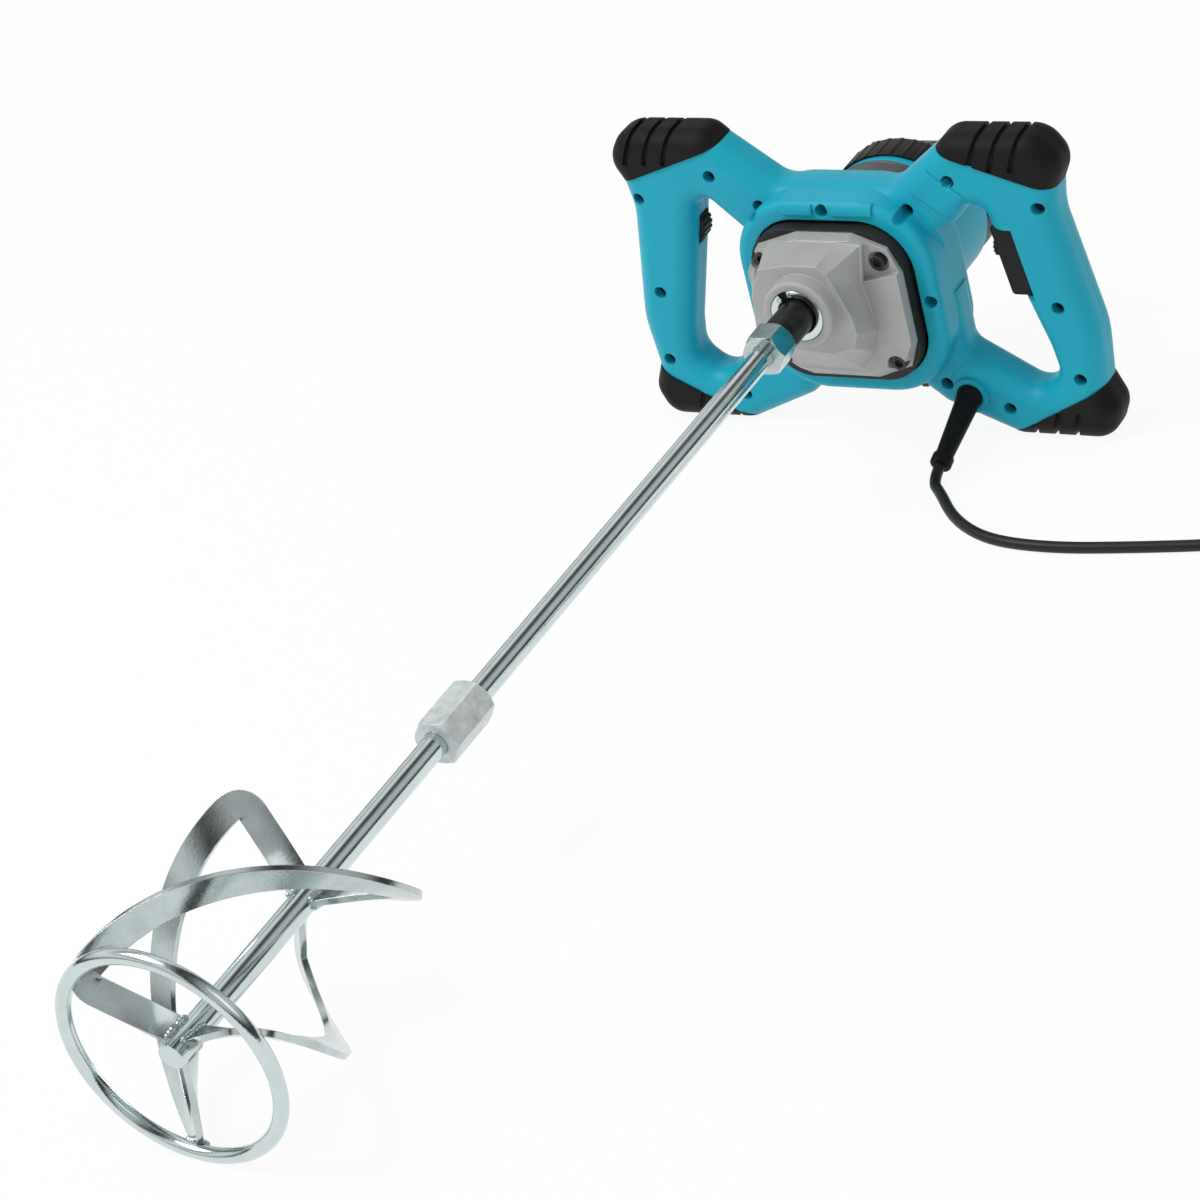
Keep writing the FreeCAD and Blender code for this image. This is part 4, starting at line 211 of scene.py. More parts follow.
class Reading:
    """A number that changes over a surface. Sums on it add Math nodes."""

    def __init__(self, work, socket):
        self.work = work
        self.socket = socket

    def __add__(self, other):
        return self.work.math("ADD", self, other)

    def __radd__(self, other):
        return self.work.math("ADD", other, self)

    def __sub__(self, other):
        return self.work.math("SUBTRACT", self, other)

    def __rsub__(self, other):
        return self.work.math("SUBTRACT", other, self)

    def __mul__(self, other):
        return self.work.math("MULTIPLY", self, other)

    def __rmul__(self, other):
        return self.work.math("MULTIPLY", other, self)

    def above(self, level, spread):
        """0 below the level and 1 above it, with a soft step as wide as spread."""
        return self.work.math("ADD", (self - level) * (1 / spread), 0.5, held=True)

    def held(self):
        """The number kept between 0 and 1."""
        return self.work.math("ADD", self, 0.0, held=True)


class NodeWork:
    """A node tree and the ways to add to it."""

    def __init__(self, tree):
        self.tree = tree
        self.tree.nodes.clear()

    def add(self, kind, settings=None, sockets=None):
        """A node of that type, with its settings and then its sockets' values or links."""
        node = self.tree.nodes.new(kind)
        for name, value in (settings or {}).items():
            if name == "stops":
                ramp = node.color_ramp.elements
                while len(ramp) < len(value):
                    ramp.new(1.0)
                for stop, (position, level) in zip(ramp, value):
                    stop.position = position
                    stop.color = (level, level, level, 1)
            else:
                setattr(node, name, value)
        for name, value in (sockets or {}).items():
            if isinstance(value, Reading):
                value = value.socket
            if isinstance(value, bpy.types.NodeSocket):
                self.tree.links.new(value, node.inputs[name])
            else:
                node.inputs[name].default_value = value
        return node

    def math(self, operation, first, second, held=False):
        """A Math node on two values, kept between 0 and 1 if it is held."""
        settings = {"operation": operation, "use_clamp": held}
        return Reading(self, self.add("ShaderNodeMath", settings, {0: first, 1: second}).outputs[0])


class Finish(NodeWork):
    """A material and the nodes that it is made of."""

    def __init__(self, name):
        self.material = bpy.data.materials.new(name)
        self.material.use_nodes = True
        super().__init__(self.material.node_tree)
        self.place = self.add("ShaderNodeTexCoord").outputs["Object"]
        self.soft_normal = None

    def mapped(self, stretch=(1, 1, 1)):
        """Object coordinates in the tool's own axes, stretched."""
        lain = self.add("ShaderNodeMapping", {"vector_type": "TEXTURE"}, {
            "Vector": self.place, "Rotation": (LIE, 0, 0), "Location": TOOL.translation})
        return self.add("ShaderNodeMapping", None, {"Vector": lain.outputs[0], "Scale": stretch}).outputs[0]

    def noise(self, size, detail, place=None, rough=0.5):
        """Cloudy noise whose patches are about as large as size."""
        node = self.add("ShaderNodeTexNoise", None, {
            "Vector": place or self.place, "Scale": 1 / size, "Detail": detail, "Roughness": rough})
        return Reading(self, node.outputs[0])

    def bands(self, size, axis, place=None, wander=0.0):
        """Even bands across an axis."""
        node = self.add("ShaderNodeTexWave", {"wave_type": "BANDS", "bands_direction": axis}, {
            "Vector": place or self.place, "Scale": 1 / (size * WAVES), "Distortion": wander, "Detail": 2.0})
        return Reading(self, node.outputs["Fac"])

    def tint(self, share, one, other):
        """One colour passing into another."""
        ends = [(*end, 1) if isinstance(end, (tuple, list)) else end for end in (one, other)]
        node = self.add("ShaderNodeMix", {"data_type": "RGBA"}, {0: share, 6: ends[0], 7: ends[1]})
        return node.outputs[2]

    def soften(self, radius):
        """Rounds the shading of sharp edges, and gives 1 on an edge and 0 away from it."""
        bevel = self.add("ShaderNodeBevel", {"samples": 4}, {"Radius": radius})
        self.soft_normal = bevel.outputs[0]
        face = self.add("ShaderNodeNewGeometry").outputs["Normal"]
        together = self.add("ShaderNodeVectorMath", {"operation": "DOT_PRODUCT"}, {
            0: self.soft_normal, 1: face})
        return 1 - Reading(self, together.outputs["Value"])

    def close(self, colour, roughness, bump, depth, metallic=0.0, sheen=0.5):
        """Joins the colour, the gloss and the grain into the surface."""
        feel = {"Height": bump, "Distance": depth, "Strength": 1.0}
        if self.soft_normal is not None:
            feel["Normal"] = self.soft_normal
        sockets = {
            "Base Color": colour, "Roughness": roughness, "Metallic": metallic, "Specular IOR Level": sheen,
            "Normal": self.add("ShaderNodeBump", None, feel).outputs[0]}
        shader = self.add("ShaderNodeBsdfPrincipled", None, sockets)
        self.add("ShaderNodeOutputMaterial", None, {"Surface": shader.outputs[0]})
        return self.material


def shade(colour, share):
    """The colour made darker, or paler where the share is over 1."""
    if share <= 1:
        return tuple(channel * share for channel in colour)
    return tuple(channel + (1 - channel) * (share - 1) for channel in colour)


def moulded_plastic(name, colour, gloss, grain, edge, edge_highlight):
    """Injection moulded plastic: a fine sparked grain, cloudy handling marks and paler edges as a painted
    highlight.
    """
    finish = Finish(name)
    cloud = finish.noise(0.06, detail=3)
    speck = finish.noise(grain, detail=2, rough=0.6)
    rim = (finish.soften(edge) * 2.2).held()
    body = finish.tint(cloud.above(0.5, 0.7), shade(colour, 0.90), shade(colour, 1.004))
    # Paler edges: a painted highlight, the colour lifted along every edge
    tone = finish.tint(rim * 0.5, body, shade(colour, edge_highlight))
    rough = (gloss + (cloud - 0.5) * 0.16 + (speck - 0.5) * 0.08).held()
    return finish.close(tone, rough, speck, depth=0.00006, sheen=0.25)


def bumper_rubber(name, colour, edge):
    """Soft moulded rubber, dull, with paler edges: grey where it rubs, and a painted sheen."""
    finish = Finish(name)
    cloud = finish.noise(0.03, detail=4)
    speck = finish.noise(0.0006, detail=3, rough=0.65)
    rim = (finish.soften(edge) * 2.0).held()
    body = finish.tint(cloud.above(0.52, 0.5), shade(colour, 0.8), shade(colour, 1.004))
    # Paler edges: partly wear where it rubs, partly a painted sheen
    tone = finish.tint(rim * (0.35 + cloud * 0.4), body, shade(colour, 1.04))
    rough = (0.52 + (cloud - 0.5) * 0.2 + speck * 0.08).held()
    return finish.close(tone, rough, speck, depth=0.00009, sheen=0.15)


# Where the painted shade on the gear case starts, along the drive, and over what length it sets in: it
# darkens the flange behind the shoulder, where the gap lies in shade
PAINTED_SHADE_START = -0.0194
PAINTED_SHADE_SPREAD = 0.0004


def cast_alloy(name, colour, edge):
    """Die cast aluminium: dull and grainy, with paler edges as a painted highlight, and painted shade behind
    its shoulder.
    """
    finish = Finish(name)
    cloud = finish.noise(0.018, detail=4)
    grit = finish.noise(0.0009, detail=4, rough=0.7)
    rim = (finish.soften(edge) * 7.0).held()
    back = finish.add("ShaderNodeSeparateXYZ", None, {0: finish.mapped()}).outputs[1]
    painted_shade = Reading(finish, back).above(PAINTED_SHADE_START, PAINTED_SHADE_SPREAD)
    body = finish.tint(cloud.above(0.5, 0.6), shade(colour, 0.88), shade(colour, 1.04))
    pitted = finish.tint(grit.above(0.64, 0.1), body, shade(colour, 0.78))
    # Paler edges: a painted highlight along the casting's creases
    trimmed = finish.tint(rim * 0.8, pitted, shade(colour, 1.45))
    # Painted shade: the casting goes near black behind the shoulder, where the flange lies in the dark gap
    tone = finish.tint(painted_shade, trimmed, shade(colour, 0.05))
    rough = (0.62 + (grit - 0.5) * 0.2 - rim * 0.2).held()
    return finish.close(tone, rough, grit, depth=0.00014, metallic=0.25)


# Radius of the soft edges of steel pieces
STEEL_EDGE = 0.0006


def plated_steel(name, colour, gloss, mottle, patch=0.016, metal=1.0):
    """Bright zinc plate with drawing streaks along the rod, cloudy spangle and fine rub marks."""
    finish = Finish(name)
    streak = finish.noise(0.0012, detail=3, place=finish.mapped((1, 0.02, 1)))
    cloud = finish.noise(patch, detail=4, rough=0.62)
    rub = finish.noise(0.0007, detail=2, place=finish.mapped((1, 0.15, 1)))
    rim = (finish.soften(STEEL_EDGE) * 2.0).held()
    body = finish.tint(cloud.above(0.5, 0.45), shade(colour, 1 - mottle), shade(colour, 1.08))
    # Paler edges: a painted highlight along them
    tone = finish.tint(rim * 0.6, body, shade(colour, 1.5))
    rough = gloss + (cloud - 0.5) * 0.5 * mottle
    rough = (rough + (streak - 0.5) * 0.10 + (rub - 0.5) * 0.05).held()
    return finish.close(tone, rough, streak + rub * 0.5, depth=0.00003, metallic=metal)


def turned_steel(name, colour, gloss):
    """Machined steel with the tool's fine lines."""
    finish = Finish(name)
    lines = finish.bands(0.0004, "Y", finish.mapped(), wander=0.6)
    cloud = finish.noise(0.01, detail=3)
    oil = cloud.above(0.56, 0.3)
    tone = finish.tint(oil, colour, shade(colour, 0.7))
    rough = (gloss + (lines - 0.5) * 0.1 - oil * 0.06).held()
    return finish.close(tone, rough, lines, depth=0.00002, metallic=1.0)


def black_steel(name, colour, gloss):
    """Oil blackened steel with worn, paler edges."""
    finish = Finish(name)
    cloud = finish.noise(0.008, detail=4)
    speck = finish.noise(0.0007, detail=3)
    rim = (finish.soften(STEEL_EDGE) * 2.4).held()
    body = finish.tint(cloud.above(0.5, 0.6), shade(colour, 0.7), shade(colour, 1.03))
    tone = finish.tint(rim * (0.3 + speck * 0.6), body, (0.19, 0.19, 0.20))
    rough = (gloss + (cloud - 0.5) * 0.2 + (speck - 0.5) * 0.1).held()
    return finish.close(tone, rough, speck, depth=0.00005, metallic=0.55)


def lamination(name):
    """A stack of thin steel sheets with brown varnish between them."""
    finish = Finish(name)
    sheets = finish.bands(0.0010, "Y", finish.mapped())
    cloud = finish.noise(0.012, detail=3)
    steel = finish.tint(cloud, (0.24, 0.24, 0.25), (0.36, 0.35, 0.34))
    tone = finish.tint(sheets.above(0.8, 0.2), steel, (0.10, 0.07, 0.05))
    rough = (0.42 + cloud * 0.2).held()
    return finish.close(tone, rough, sheets, depth=0.00008, metallic=0.85)


def copper_wire(name, colour):
    """Enamelled copper wire, wound side by side."""
    finish = Finish(name)
    turns = finish.bands(0.0007, "DIAGONAL", wander=1.2)
    cloud = finish.noise(0.006, detail=3)
    tone = finish.tint(turns * 0.7 + cloud * 0.2, shade(colour, 0.45), colour)
    rough = (0.30 + (cloud - 0.5) * 0.2).held()
    return finish.close(tone, rough, turns, depth=0.00015, metallic=0.85)


def pressed_carbon(name):
    """Pressed carbon: black, dull and grainy."""
    finish = Finish(name)
    speck = finish.noise(0.0005, detail=4)
    tone = finish.tint(speck, (0.018, 0.018, 0.019), (0.055, 0.055, 0.058))
    rough = (0.5 + (speck - 0.5) * 0.3).held()
    return finish.close(tone, rough, speck, depth=0.00006, metallic=0.2)


def brass(name):
    """Turned brass, a little dull in places."""
    finish = Finish(name)
    cloud = finish.noise(0.006, detail=3)
    lines = finish.bands(0.0005, "Y", wander=0.8)
    tone = finish.tint(cloud, (0.72, 0.50, 0.20), (0.80, 0.62, 0.32))
    rough = (0.24 + (cloud - 0.5) * 0.2).held()
    return finish.close(tone, rough, lines, depth=0.00002, metallic=1.0)


def cord_sheath(name, colour):
    """Rubber cord: a dull, cloudy skin with some dust."""
    finish = Finish(name)
    cloud = finish.noise(0.02, detail=3)
    speck = finish.noise(0.0006, detail=3)
    tone = finish.tint(cloud * 0.6 + speck * 0.2, shade(colour, 0.8), shade(colour, 1.006))
    rough = (0.46 + (cloud - 0.5) * 0.2).held()
    return finish.close(tone, rough, speck, depth=0.00005, sheen=0.4)


def plate_foil(name):
    """Bare metal foil, grey with a brushed grain."""
    finish = Finish(name)
    lines = finish.noise(0.0006, detail=2, place=finish.mapped((0.06, 1, 1)))
    cloud = finish.noise(0.02, detail=3)
    tone = finish.tint(cloud, (0.060, 0.063, 0.068), (0.095, 0.10, 0.105))
    rough = (0.40 + (lines - 0.5) * 0.2).held()
    return finish.close(tone, rough, lines, depth=0.00003, metallic=0.35)


FINISHED_NODES = {
    "frame_moulding": ("front_shell", "switch_cover", "rear_shell", "motor_housing"),
    "bumper_skin": (
        "bumper_upper_left", "bumper_upper_right", "bumper_lower_left", "bumper_lower_right"),
    "black_moulding": (
        "motor_end_cap", "trigger", "trigger_dial", "lock_button", "speed_dial", "speed_module",
        "switch_body", "brush_caps", "cord_clamp", "cooling_fan", "plug"),
    "guard_rubber": ("cable_guard", "spindle_seal"),
    "case_casting": ("gear_case", "gear_plate"),
    "oiled_steel": ("spindle", "spindle_key"),
    "rod_zinc": ("upper_rod", "lower_rod", "paddle_ring"),
    "blade_zinc": ("blade_1", "blade_2", "blade_3", "jam_nut"),
    "nut_zinc": ("coupling_nut",),
    "screw_steel": ("frame_screws", "clamp_screws", "gear_case_screws", "end_cap_screws"),
    "lathe_steel": (
        "armature_shaft", "armature_bearings", "intermediate_gear", "intermediate_shaft",
        "intermediate_bearings", "spindle_gear", "spindle_bearings"),
    "core_sheets": ("stator_core", "armature_core"),
    "winding_wire": ("armature_windings", "field_coils", "commutator"),
    "brush_carbon": ("carbon_brushes",),
    "terminal_brass": ("brush_holders", "plug_pins"),
}


def made_finish(name):
    """A finish by its name, made the first time that it is asked for."""
    found = bpy.data.materials.get(name)
    if found is not None:
        return found
    sizes = bpy.context.scene.drill_sizes
    colours = bpy.context.scene.drill_colours
    teal, rubber, black = tuple(colours.frame), tuple(colours.bumper), tuple(colours.black)
    casting, zinc = tuple(colours.casting), tuple(colours.zinc)
    edge, fine_edge = sizes.rim_width, sizes.rim_width * 0.6
    makers = {
        "frame_moulding": lambda: moulded_plastic(
            name, teal, gloss=0.40, grain=0.00045, edge=edge, edge_highlight=1.16),
        "bumper_skin": lambda: bumper_rubber(name, rubber, edge),
        "black_moulding": lambda: moulded_plastic(
            name, black, gloss=0.44, grain=0.0005, edge=fine_edge, edge_highlight=1.05),
        "guard_rubber": lambda: bumper_rubber(name, black, fine_edge),
        "case_casting": lambda: cast_alloy(name, casting, edge),
        "oiled_steel": lambda: black_steel(name, shade(black, 0.9), gloss=0.42),
        "rod_zinc": lambda: plated_steel(name, zinc, gloss=0.13, mottle=0.10),
        "blade_zinc": lambda: plated_steel(name, shade(zinc, 0.88), gloss=0.16, mottle=0.24),
        "nut_zinc": lambda: plated_steel(
            name, shade(zinc, 1.3), gloss=0.36, mottle=0.34, patch=0.006, metal=0.25),
        "screw_steel": lambda: black_steel(name, (0.03, 0.03, 0.032), gloss=0.36),
        "lathe_steel": lambda: turned_steel(name, (0.56, 0.56, 0.56), gloss=0.28),
        "core_sheets": lambda: lamination(name),
        "winding_wire": lambda: copper_wire(name, tuple(colours.copper)),
        "brush_carbon": lambda: pressed_carbon(name),
        "terminal_brass": lambda: brass(name),
        "cord_sheath": lambda: cord_sheath(name, black),
        "plate_foil": lambda: plate_foil(name),
    }
    return makers[name]()


# Modelling helpers

# Corners closer than this are one corner
DOUBLES = 0.000001


def nothing_selected():
    """Object mode, with nothing selected and nothing active."""
    if bpy.context.view_layer.objects.active and bpy.context.object.mode != "OBJECT":
        bpy.ops.object.mode_set(mode="OBJECT")
    bpy.ops.object.select_all(action="DESELECT")
    bpy.context.view_layer.objects.active = None


def alone(piece):
    """Makes one piece the only one that is selected, and the active one."""
    nothing_selected()
    piece.select_set(True)
    bpy.context.view_layer.objects.active = piece


def pick(test):
    """Selects the faces of the piece in edit mode that pass a test, and drops the others."""
    bpy.ops.mesh.select_mode(type="FACE")
    bpy.ops.mesh.select_all(action="DESELECT")
    mesh = bmesh.from_edit_mesh(bpy.context.object.data)
    for face in mesh.faces:
        face.select_set(bool(test(face)))
    mesh.select_flush_mode()
    bmesh.update_edit_mesh(bpy.context.object.data)


def off_top(face):
    """Angle of a face's middle about the drive's axis, from straight up and towards the right."""
    places = [corner.co for corner in face.verts]
    middle = sum(places, Vector()) / len(places)
    return math.atan2(middle.x, middle.z)


def add_wall(sheet, thickness, offset):
    """Gives a sheet its thickness: with an offset of 1 all outside of it, with 0 half on each side."""
    wall = sheet.modifiers.new("wall", "SOLIDIFY")
    wall.thickness = thickness
    wall.offset = offset


def add_edges(piece, width, segments=2, sharp=30.0):
    """Rounds the edges of a piece that are sharper than an angle in degrees."""
    edges = piece.modifiers.new("edges", "BEVEL")
    edges.width = width
    edges.segments = segments
    edges.limit_method = "ANGLE"
    edges.angle_limit = math.radians(sharp)


def apply_modifiers(piece):
    """Turns a piece's modifiers into mesh, in their order."""
    alone(piece)
    for name in [modifier.name for modifier in piece.modifiers]:
        bpy.ops.object.modifier_apply(modifier=name)


def joined(pieces, name):
    """Several pieces made one, with its place in its mesh."""
    nothing_selected()
    for piece in pieces:
        piece.select_set(True)
    bpy.context.view_layer.objects.active = pieces[0]
    bpy.ops.object.join()
    whole = bpy.context.view_layer.objects.active
    bpy.ops.object.transform_apply(location=True, rotation=True, scale=True)
    whole.name = name
    whole.data.name = name
    return whole


def set_down(piece, matrix, finish, body="tool", crease=35.0):
    """Sets a modelled piece in the shared frame, cleans it, gives it its finish and lets it ride."""
    piece.matrix_world = matrix @ piece.matrix_world
    alone(piece)
    bpy.ops.object.transform_apply(location=True, rotation=True, scale=True)
    bpy.ops.object.mode_set(mode="EDIT")
    bpy.ops.mesh.select_all(action="SELECT")
    bpy.ops.mesh.remove_doubles(threshold=DOUBLES)
    bpy.ops.mesh.normals_make_consistent(inside=False)
    bpy.ops.object.mode_set(mode="OBJECT")
    bpy.ops.object.shade_smooth_by_angle(angle=math.radians(crease))
    piece.data.materials.clear()
    piece.data.materials.append(made_finish(finish))
    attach(piece, body)
    nothing_selected()


# Pieces


class DRILL_OT_finishes(Operator):
    """Gives every solid of the tool its own finish"""

    bl_idname = "drill.finishes"
    bl_label = "Finishes"

    def execute(self, context):
        for finish, nodes in FINISHED_NODES.items():
            for node in nodes:
                slots = NODES[node].data.materials
                slots.clear()
                slots.append(made_finish(finish))
        return {"FINISHED"}


def coil_reach(turn, sizes):
    """Radius and height of the coil's line after some turns: in, up a layer in half a turn, and out."""
    turns, pitch = sizes.coil_layer_turns, sizes.coil_pitch
    inner = sizes.coil_radius - pitch * turns
    if turn <= turns:
        return sizes.coil_radius - pitch * turn, 0.0
    if turn >= turns + COIL_CLIMB:
        return inner + pitch * (turn - turns - COIL_CLIMB), pitch
    share = (turn - turns) / COIL_CLIMB
    return inner + pitch * 0.5 * share * (share - 1), pitch * share * share * (3 - 2 * share)


def coil_line(sizes):
    """Points of the coil's turns, which stand a little wide because the cord runs inside its points."""
    swell = 1 / (0.75 + 0.25 * math.cos(2 * math.pi / TURN_POINTS))
    for step in range(round((2 * sizes.coil_layer_turns + COIL_EXTRA) * TURN_POINTS) + 1):
        turn = step / TURN_POINTS
        radius, height = coil_reach(turn, sizes)
        angle = 2 * math.pi * turn - math.pi / 2
        wide = radius * swell
        yield on_floor(COIL_MIDDLE) + Vector((wide * math.cos(angle), wide * math.sin(angle), height))


class DRILL_OT_cord(Operator):
    """Lays the mains cord from its guard along the floor into the coil that is put away"""

    bl_idname = "drill.cord"
    bl_label = "Cord"

    def execute(self, context):
        sizes = context.scene.drill_sizes
        points = [CORD_EXIT, TOOL @ (GUARD_END + GUARD_WAY * CORD_LEAD)]
        points += [on_floor(place) for place in FLOOR_ROUTE]
        points += coil_line(sizes)
        points += [on_floor(place) for place in CORD_TAIL]
        curve = bpy.data.curves.new("mains_cord", "CURVE")
        curve.dimensions = "3D"
        line = curve.splines.new("NURBS")
        line.points.add(len(points) - 1)
        for point, place in zip(line.points, points):
            point.co = (*place, 1)
        line.order_u = 3
        line.use_endpoint_u = True
        line.use_smooth = True
        curve.resolution_u = 6
        curve.bevel_depth = sizes.cord_diameter / 2
        curve.bevel_resolution = 5
        curve.use_fill_caps = True
        cord = bpy.data.objects.new("mains_cord", curve)
        context.scene.collection.objects.link(cord)
        curve.materials.append(made_finish("cord_sheath"))
        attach(cord, "tool")
        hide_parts("cord", "cord_coil")
        return {"FINISHED"}


class DRILL_OT_coil_band(Operator):
    """Makes the soft band that holds the coil's turns together"""

    bl_idname = "drill.coil_band"
    bl_label = "Coil band"

    def execute(self, context):
        sizes = context.scene.drill_sizes
        nothing_selected()
        band = bpy.data.objects.new("coil_band", NODES["cord_tie"].data.copy())
        context.scene.collection.objects.link(band)
        alone(band)
        bpy.ops.object.mode_set(mode="EDIT")
        bpy.ops.mesh.select_all(action="SELECT")
        bpy.ops.mesh.remove_doubles(threshold=10 * DOUBLES)
        bpy.ops.mesh.dissolve_limited(angle_limit=math.radians(2))
        bpy.ops.object.mode_set(mode="OBJECT")
        add_edges(band, sizes.band_edge, 3)
        apply_modifiers(band)
        set_down(band, Matrix.Identity(4), "black_moulding", crease=40)
        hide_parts("cord_tie")
        return {"FINISHED"}


# Weld beads: the drops' distances along a bead, how far they stand off the rod and how their sizes change,
# the turns from the middle of an arm to the beads at its sides, the arms' slope, and a ring bead's turn for
# each metre
BEAD_STEPS = tuple(step * 0.0019 for step in range(-3, 4))
BEAD_STAND_OFF = 0.0006
BEAD_SWELLS = (0.92, 1.06, 1.20)
ARM_SIDES = (-0.36, 0.36)
ARM_SLOPE = 0.158
RING_BEAD_TURN = 16


def bead(places, radius):
    """One weld bead: drops along a line that have run into each other."""
    drops = []
    for step, place in enumerate(places):
        nothing_selected()
        swell = BEAD_SWELLS[step % len(BEAD_SWELLS)]
        bpy.ops.mesh.primitive_ico_sphere_add(subdivisions=2, radius=radius * swell, location=place)
        drops.append(bpy.context.object)
    whole = joined(drops, "bead")
    melt = whole.modifiers.new("melt", "REMESH")
    melt.mode = "VOXEL"
    melt.voxel_size = radius * 0.25
    calm = whole.modifiers.new("calm", "SMOOTH")
    calm.iterations = 2
    apply_modifiers(whole)
    return whole


def about_rod(radius, angle, place):
    """A place by its distance from the rod's axis, its turn about it and its place along it."""
    return Vector((radius * math.cos(angle), place, radius * math.sin(angle)))


class DRILL_OT_weld_beads(Operator):
    """Lays weld beads where the blades meet the rod and the ring"""

    bl_idname = "drill.weld_beads"
    bl_label = "Weld beads"

    def execute(self, context):
        sizes = context.scene.drill_sizes
        reach = sizes.rod_radius + BEAD_STAND_OFF
        beads = []
        for blade in range(3):
            start = sizes.blade_start + blade * 2 * math.pi / 3
            end = start + sizes.blade_sweep
            for angle, place in ((start, -sizes.upper_weld), (end, -sizes.lower_weld)):
                for side in ARM_SIDES:
                    line = [about_rod(reach, angle + side - ARM_SLOPE * step / reach, place + step)
                            for step in BEAD_STEPS]
                    beads.append(bead(line, sizes.bead_radius))
            line = [about_rod(sizes.ring_weld_radius, end + step * RING_BEAD_TURN, -sizes.ring_weld)
                    for step in BEAD_STEPS]
            beads.append(bead(line, sizes.bead_radius))
        set_down(joined(beads, "weld_beads"), SPINDLE_AXIS, "blade_zinc", "spindle_group")
        return {"FINISHED"}


# Retaining ring: half of its gap, its eyes' turn past the gap, their distance from its inner edge and their
# two radii, its wall and edges, how deep it sits in the hub and how far it is turned
CLIP_HALF_GAP = math.radians(13)
EYE_TURN = math.radians(5)
EYE_RISE = 0.0013
EYE_RADII = (0.0007, 0.0017)
CLIP_WALL = 0.0010
CLIP_EDGE = 0.00018
CLIP_DEPTH = 0.0004
CLIP_TURN = math.radians(-25)


def washer(inner, outer, place, corners):
    """A flat ring across the drive's axis."""
    nothing_selected()
    bpy.ops.mesh.primitive_circle_add(
        vertices=corners, radius=inner, rotation=(math.pi / 2, 0, 0), location=place)
    ring = bpy.context.object
    bpy.ops.object.mode_set(mode="EDIT")
    bpy.ops.mesh.select_all(action="SELECT")
    bpy.ops.mesh.extrude_edges_move()
    bpy.ops.transform.resize(value=(outer / inner,) * 3, center_override=place)
    bpy.ops.object.mode_set(mode="OBJECT")
    return ring


class DRILL_OT_retaining_ring(Operator):
    """Springs the retaining ring with its two eyes into the mouth of the hub"""

    bl_idname = "drill.retaining_ring"
    bl_label = "Retaining ring"

    def execute(self, context):
        sizes = context.scene.drill_sizes
        ring = washer(sizes.clip_inner, sizes.clip_outer, (0, 0, 0), 96)
        bpy.ops.object.transform_apply(location=True, rotation=True, scale=True)
        bpy.ops.object.mode_set(mode="EDIT")
        pick(lambda face: abs(off_top(face)) < CLIP_HALF_GAP)
        bpy.ops.mesh.delete(type="FACE")
        bpy.ops.object.mode_set(mode="OBJECT")
        reach = sizes.clip_inner + EYE_RISE
        eyes = []
        for side in (-1, 1):
            turn = side * (CLIP_HALF_GAP + EYE_TURN)
            eyes.append(washer(*EYE_RADII, (reach * math.sin(turn), 0, reach * math.cos(turn)), 20))
        clip = joined([ring] + eyes, "retaining_ring")
        add_wall(clip, CLIP_WALL, 0)
        add_edges(clip, CLIP_EDGE)
        apply_modifiers(clip)
        place = SPINDLE_AXIS @ Matrix.Translation((0, CLIP_DEPTH - sizes.hub_mouth, 0))
        place = place @ Matrix.Rotation(CLIP_TURN, 4, "Y")
        set_down(clip, place, "rod_zinc")
        return {"FINISHED"}


# Sheets over the motor: their gap over the housing, and the angle past which edges are rounded, in degrees
SHEET_GAP = 0.0001
SHEET_SHARP = 50

# The bare plate's wall and edges, the width of its border, and the width and drop of the step inside it
PLATE_WALL = 0.0007
PLATE_EDGE = 0.0002
PLATE_BORDER = 0.0014
PLATE_STEP = 0.0004
PLATE_DROP = 0.0003

# The roof grille's sides, its ribs' pitch and width in degrees, its wall and edges, and its ribs' border and
# rise
GRILLE_SIDES = (math.radians(-74), math.radians(34))
RIB_PITCH = 10
RIB_WIDTH = 4
GRILLE_WALL = 0.0012
GRILLE_EDGE = 0.0003
RIB_BORDER = 0.0007
RIB_RISE = 0.0007


def bent_sheet(start, end, left, right):
    """A sheet over the motor housing between two angles off its top, in edit mode with all of it selected."""
    housing = (TOOL.inverted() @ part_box("motor_housing")[1]).x
    nothing_selected()
    bpy.ops.mesh.primitive_cylinder_add(
        vertices=180, radius=housing + SHEET_GAP, depth=end - start, end_fill_type="NOTHING",
        rotation=(math.pi / 2, 0, 0), location=(0, (start + end) / 2, 0))
    sheet = bpy.context.object
    bpy.ops.object.transform_apply(location=True, rotation=True, scale=True)
    bpy.ops.object.mode_set(mode="EDIT")
    pick(lambda face: not left < off_top(face) < right)
    bpy.ops.mesh.delete(type="FACE")
    bpy.ops.mesh.select_all(action="SELECT")
    bpy.ops.mesh.normals_make_consistent(inside=False)
    return sheet


def thickened(sheet, thickness, edge):
    """Gives a sheet its thickness outwards, and soft edges."""
    bpy.ops.object.mode_set(mode="OBJECT")
    add_wall(sheet, thickness, 1)
    add_edges(sheet, edge, sharp=SHEET_SHARP)
    apply_modifiers(sheet)


class DRILL_OT_bare_plate(Operator):
    """Bends the bare plate over the top of the motor housing"""

    bl_idname = "drill.bare_plate"
    bl_label = "Bare plate"

    def execute(self, context):
        sizes = context.scene.drill_sizes
        half = sizes.plate_half_angle
        plate = bent_sheet(sizes.plate_start, sizes.plate_end, -half, half)
        bpy.ops.mesh.inset(thickness=PLATE_BORDER, depth=0.0)
        bpy.ops.mesh.inset(thickness=PLATE_STEP, depth=-PLATE_DROP)
        thickened(plate, PLATE_WALL, PLATE_EDGE)
        plate.name = plate.data.name = "bare_plate"
        set_down(plate, TOOL, "plate_foil")
        return {"FINISHED"}


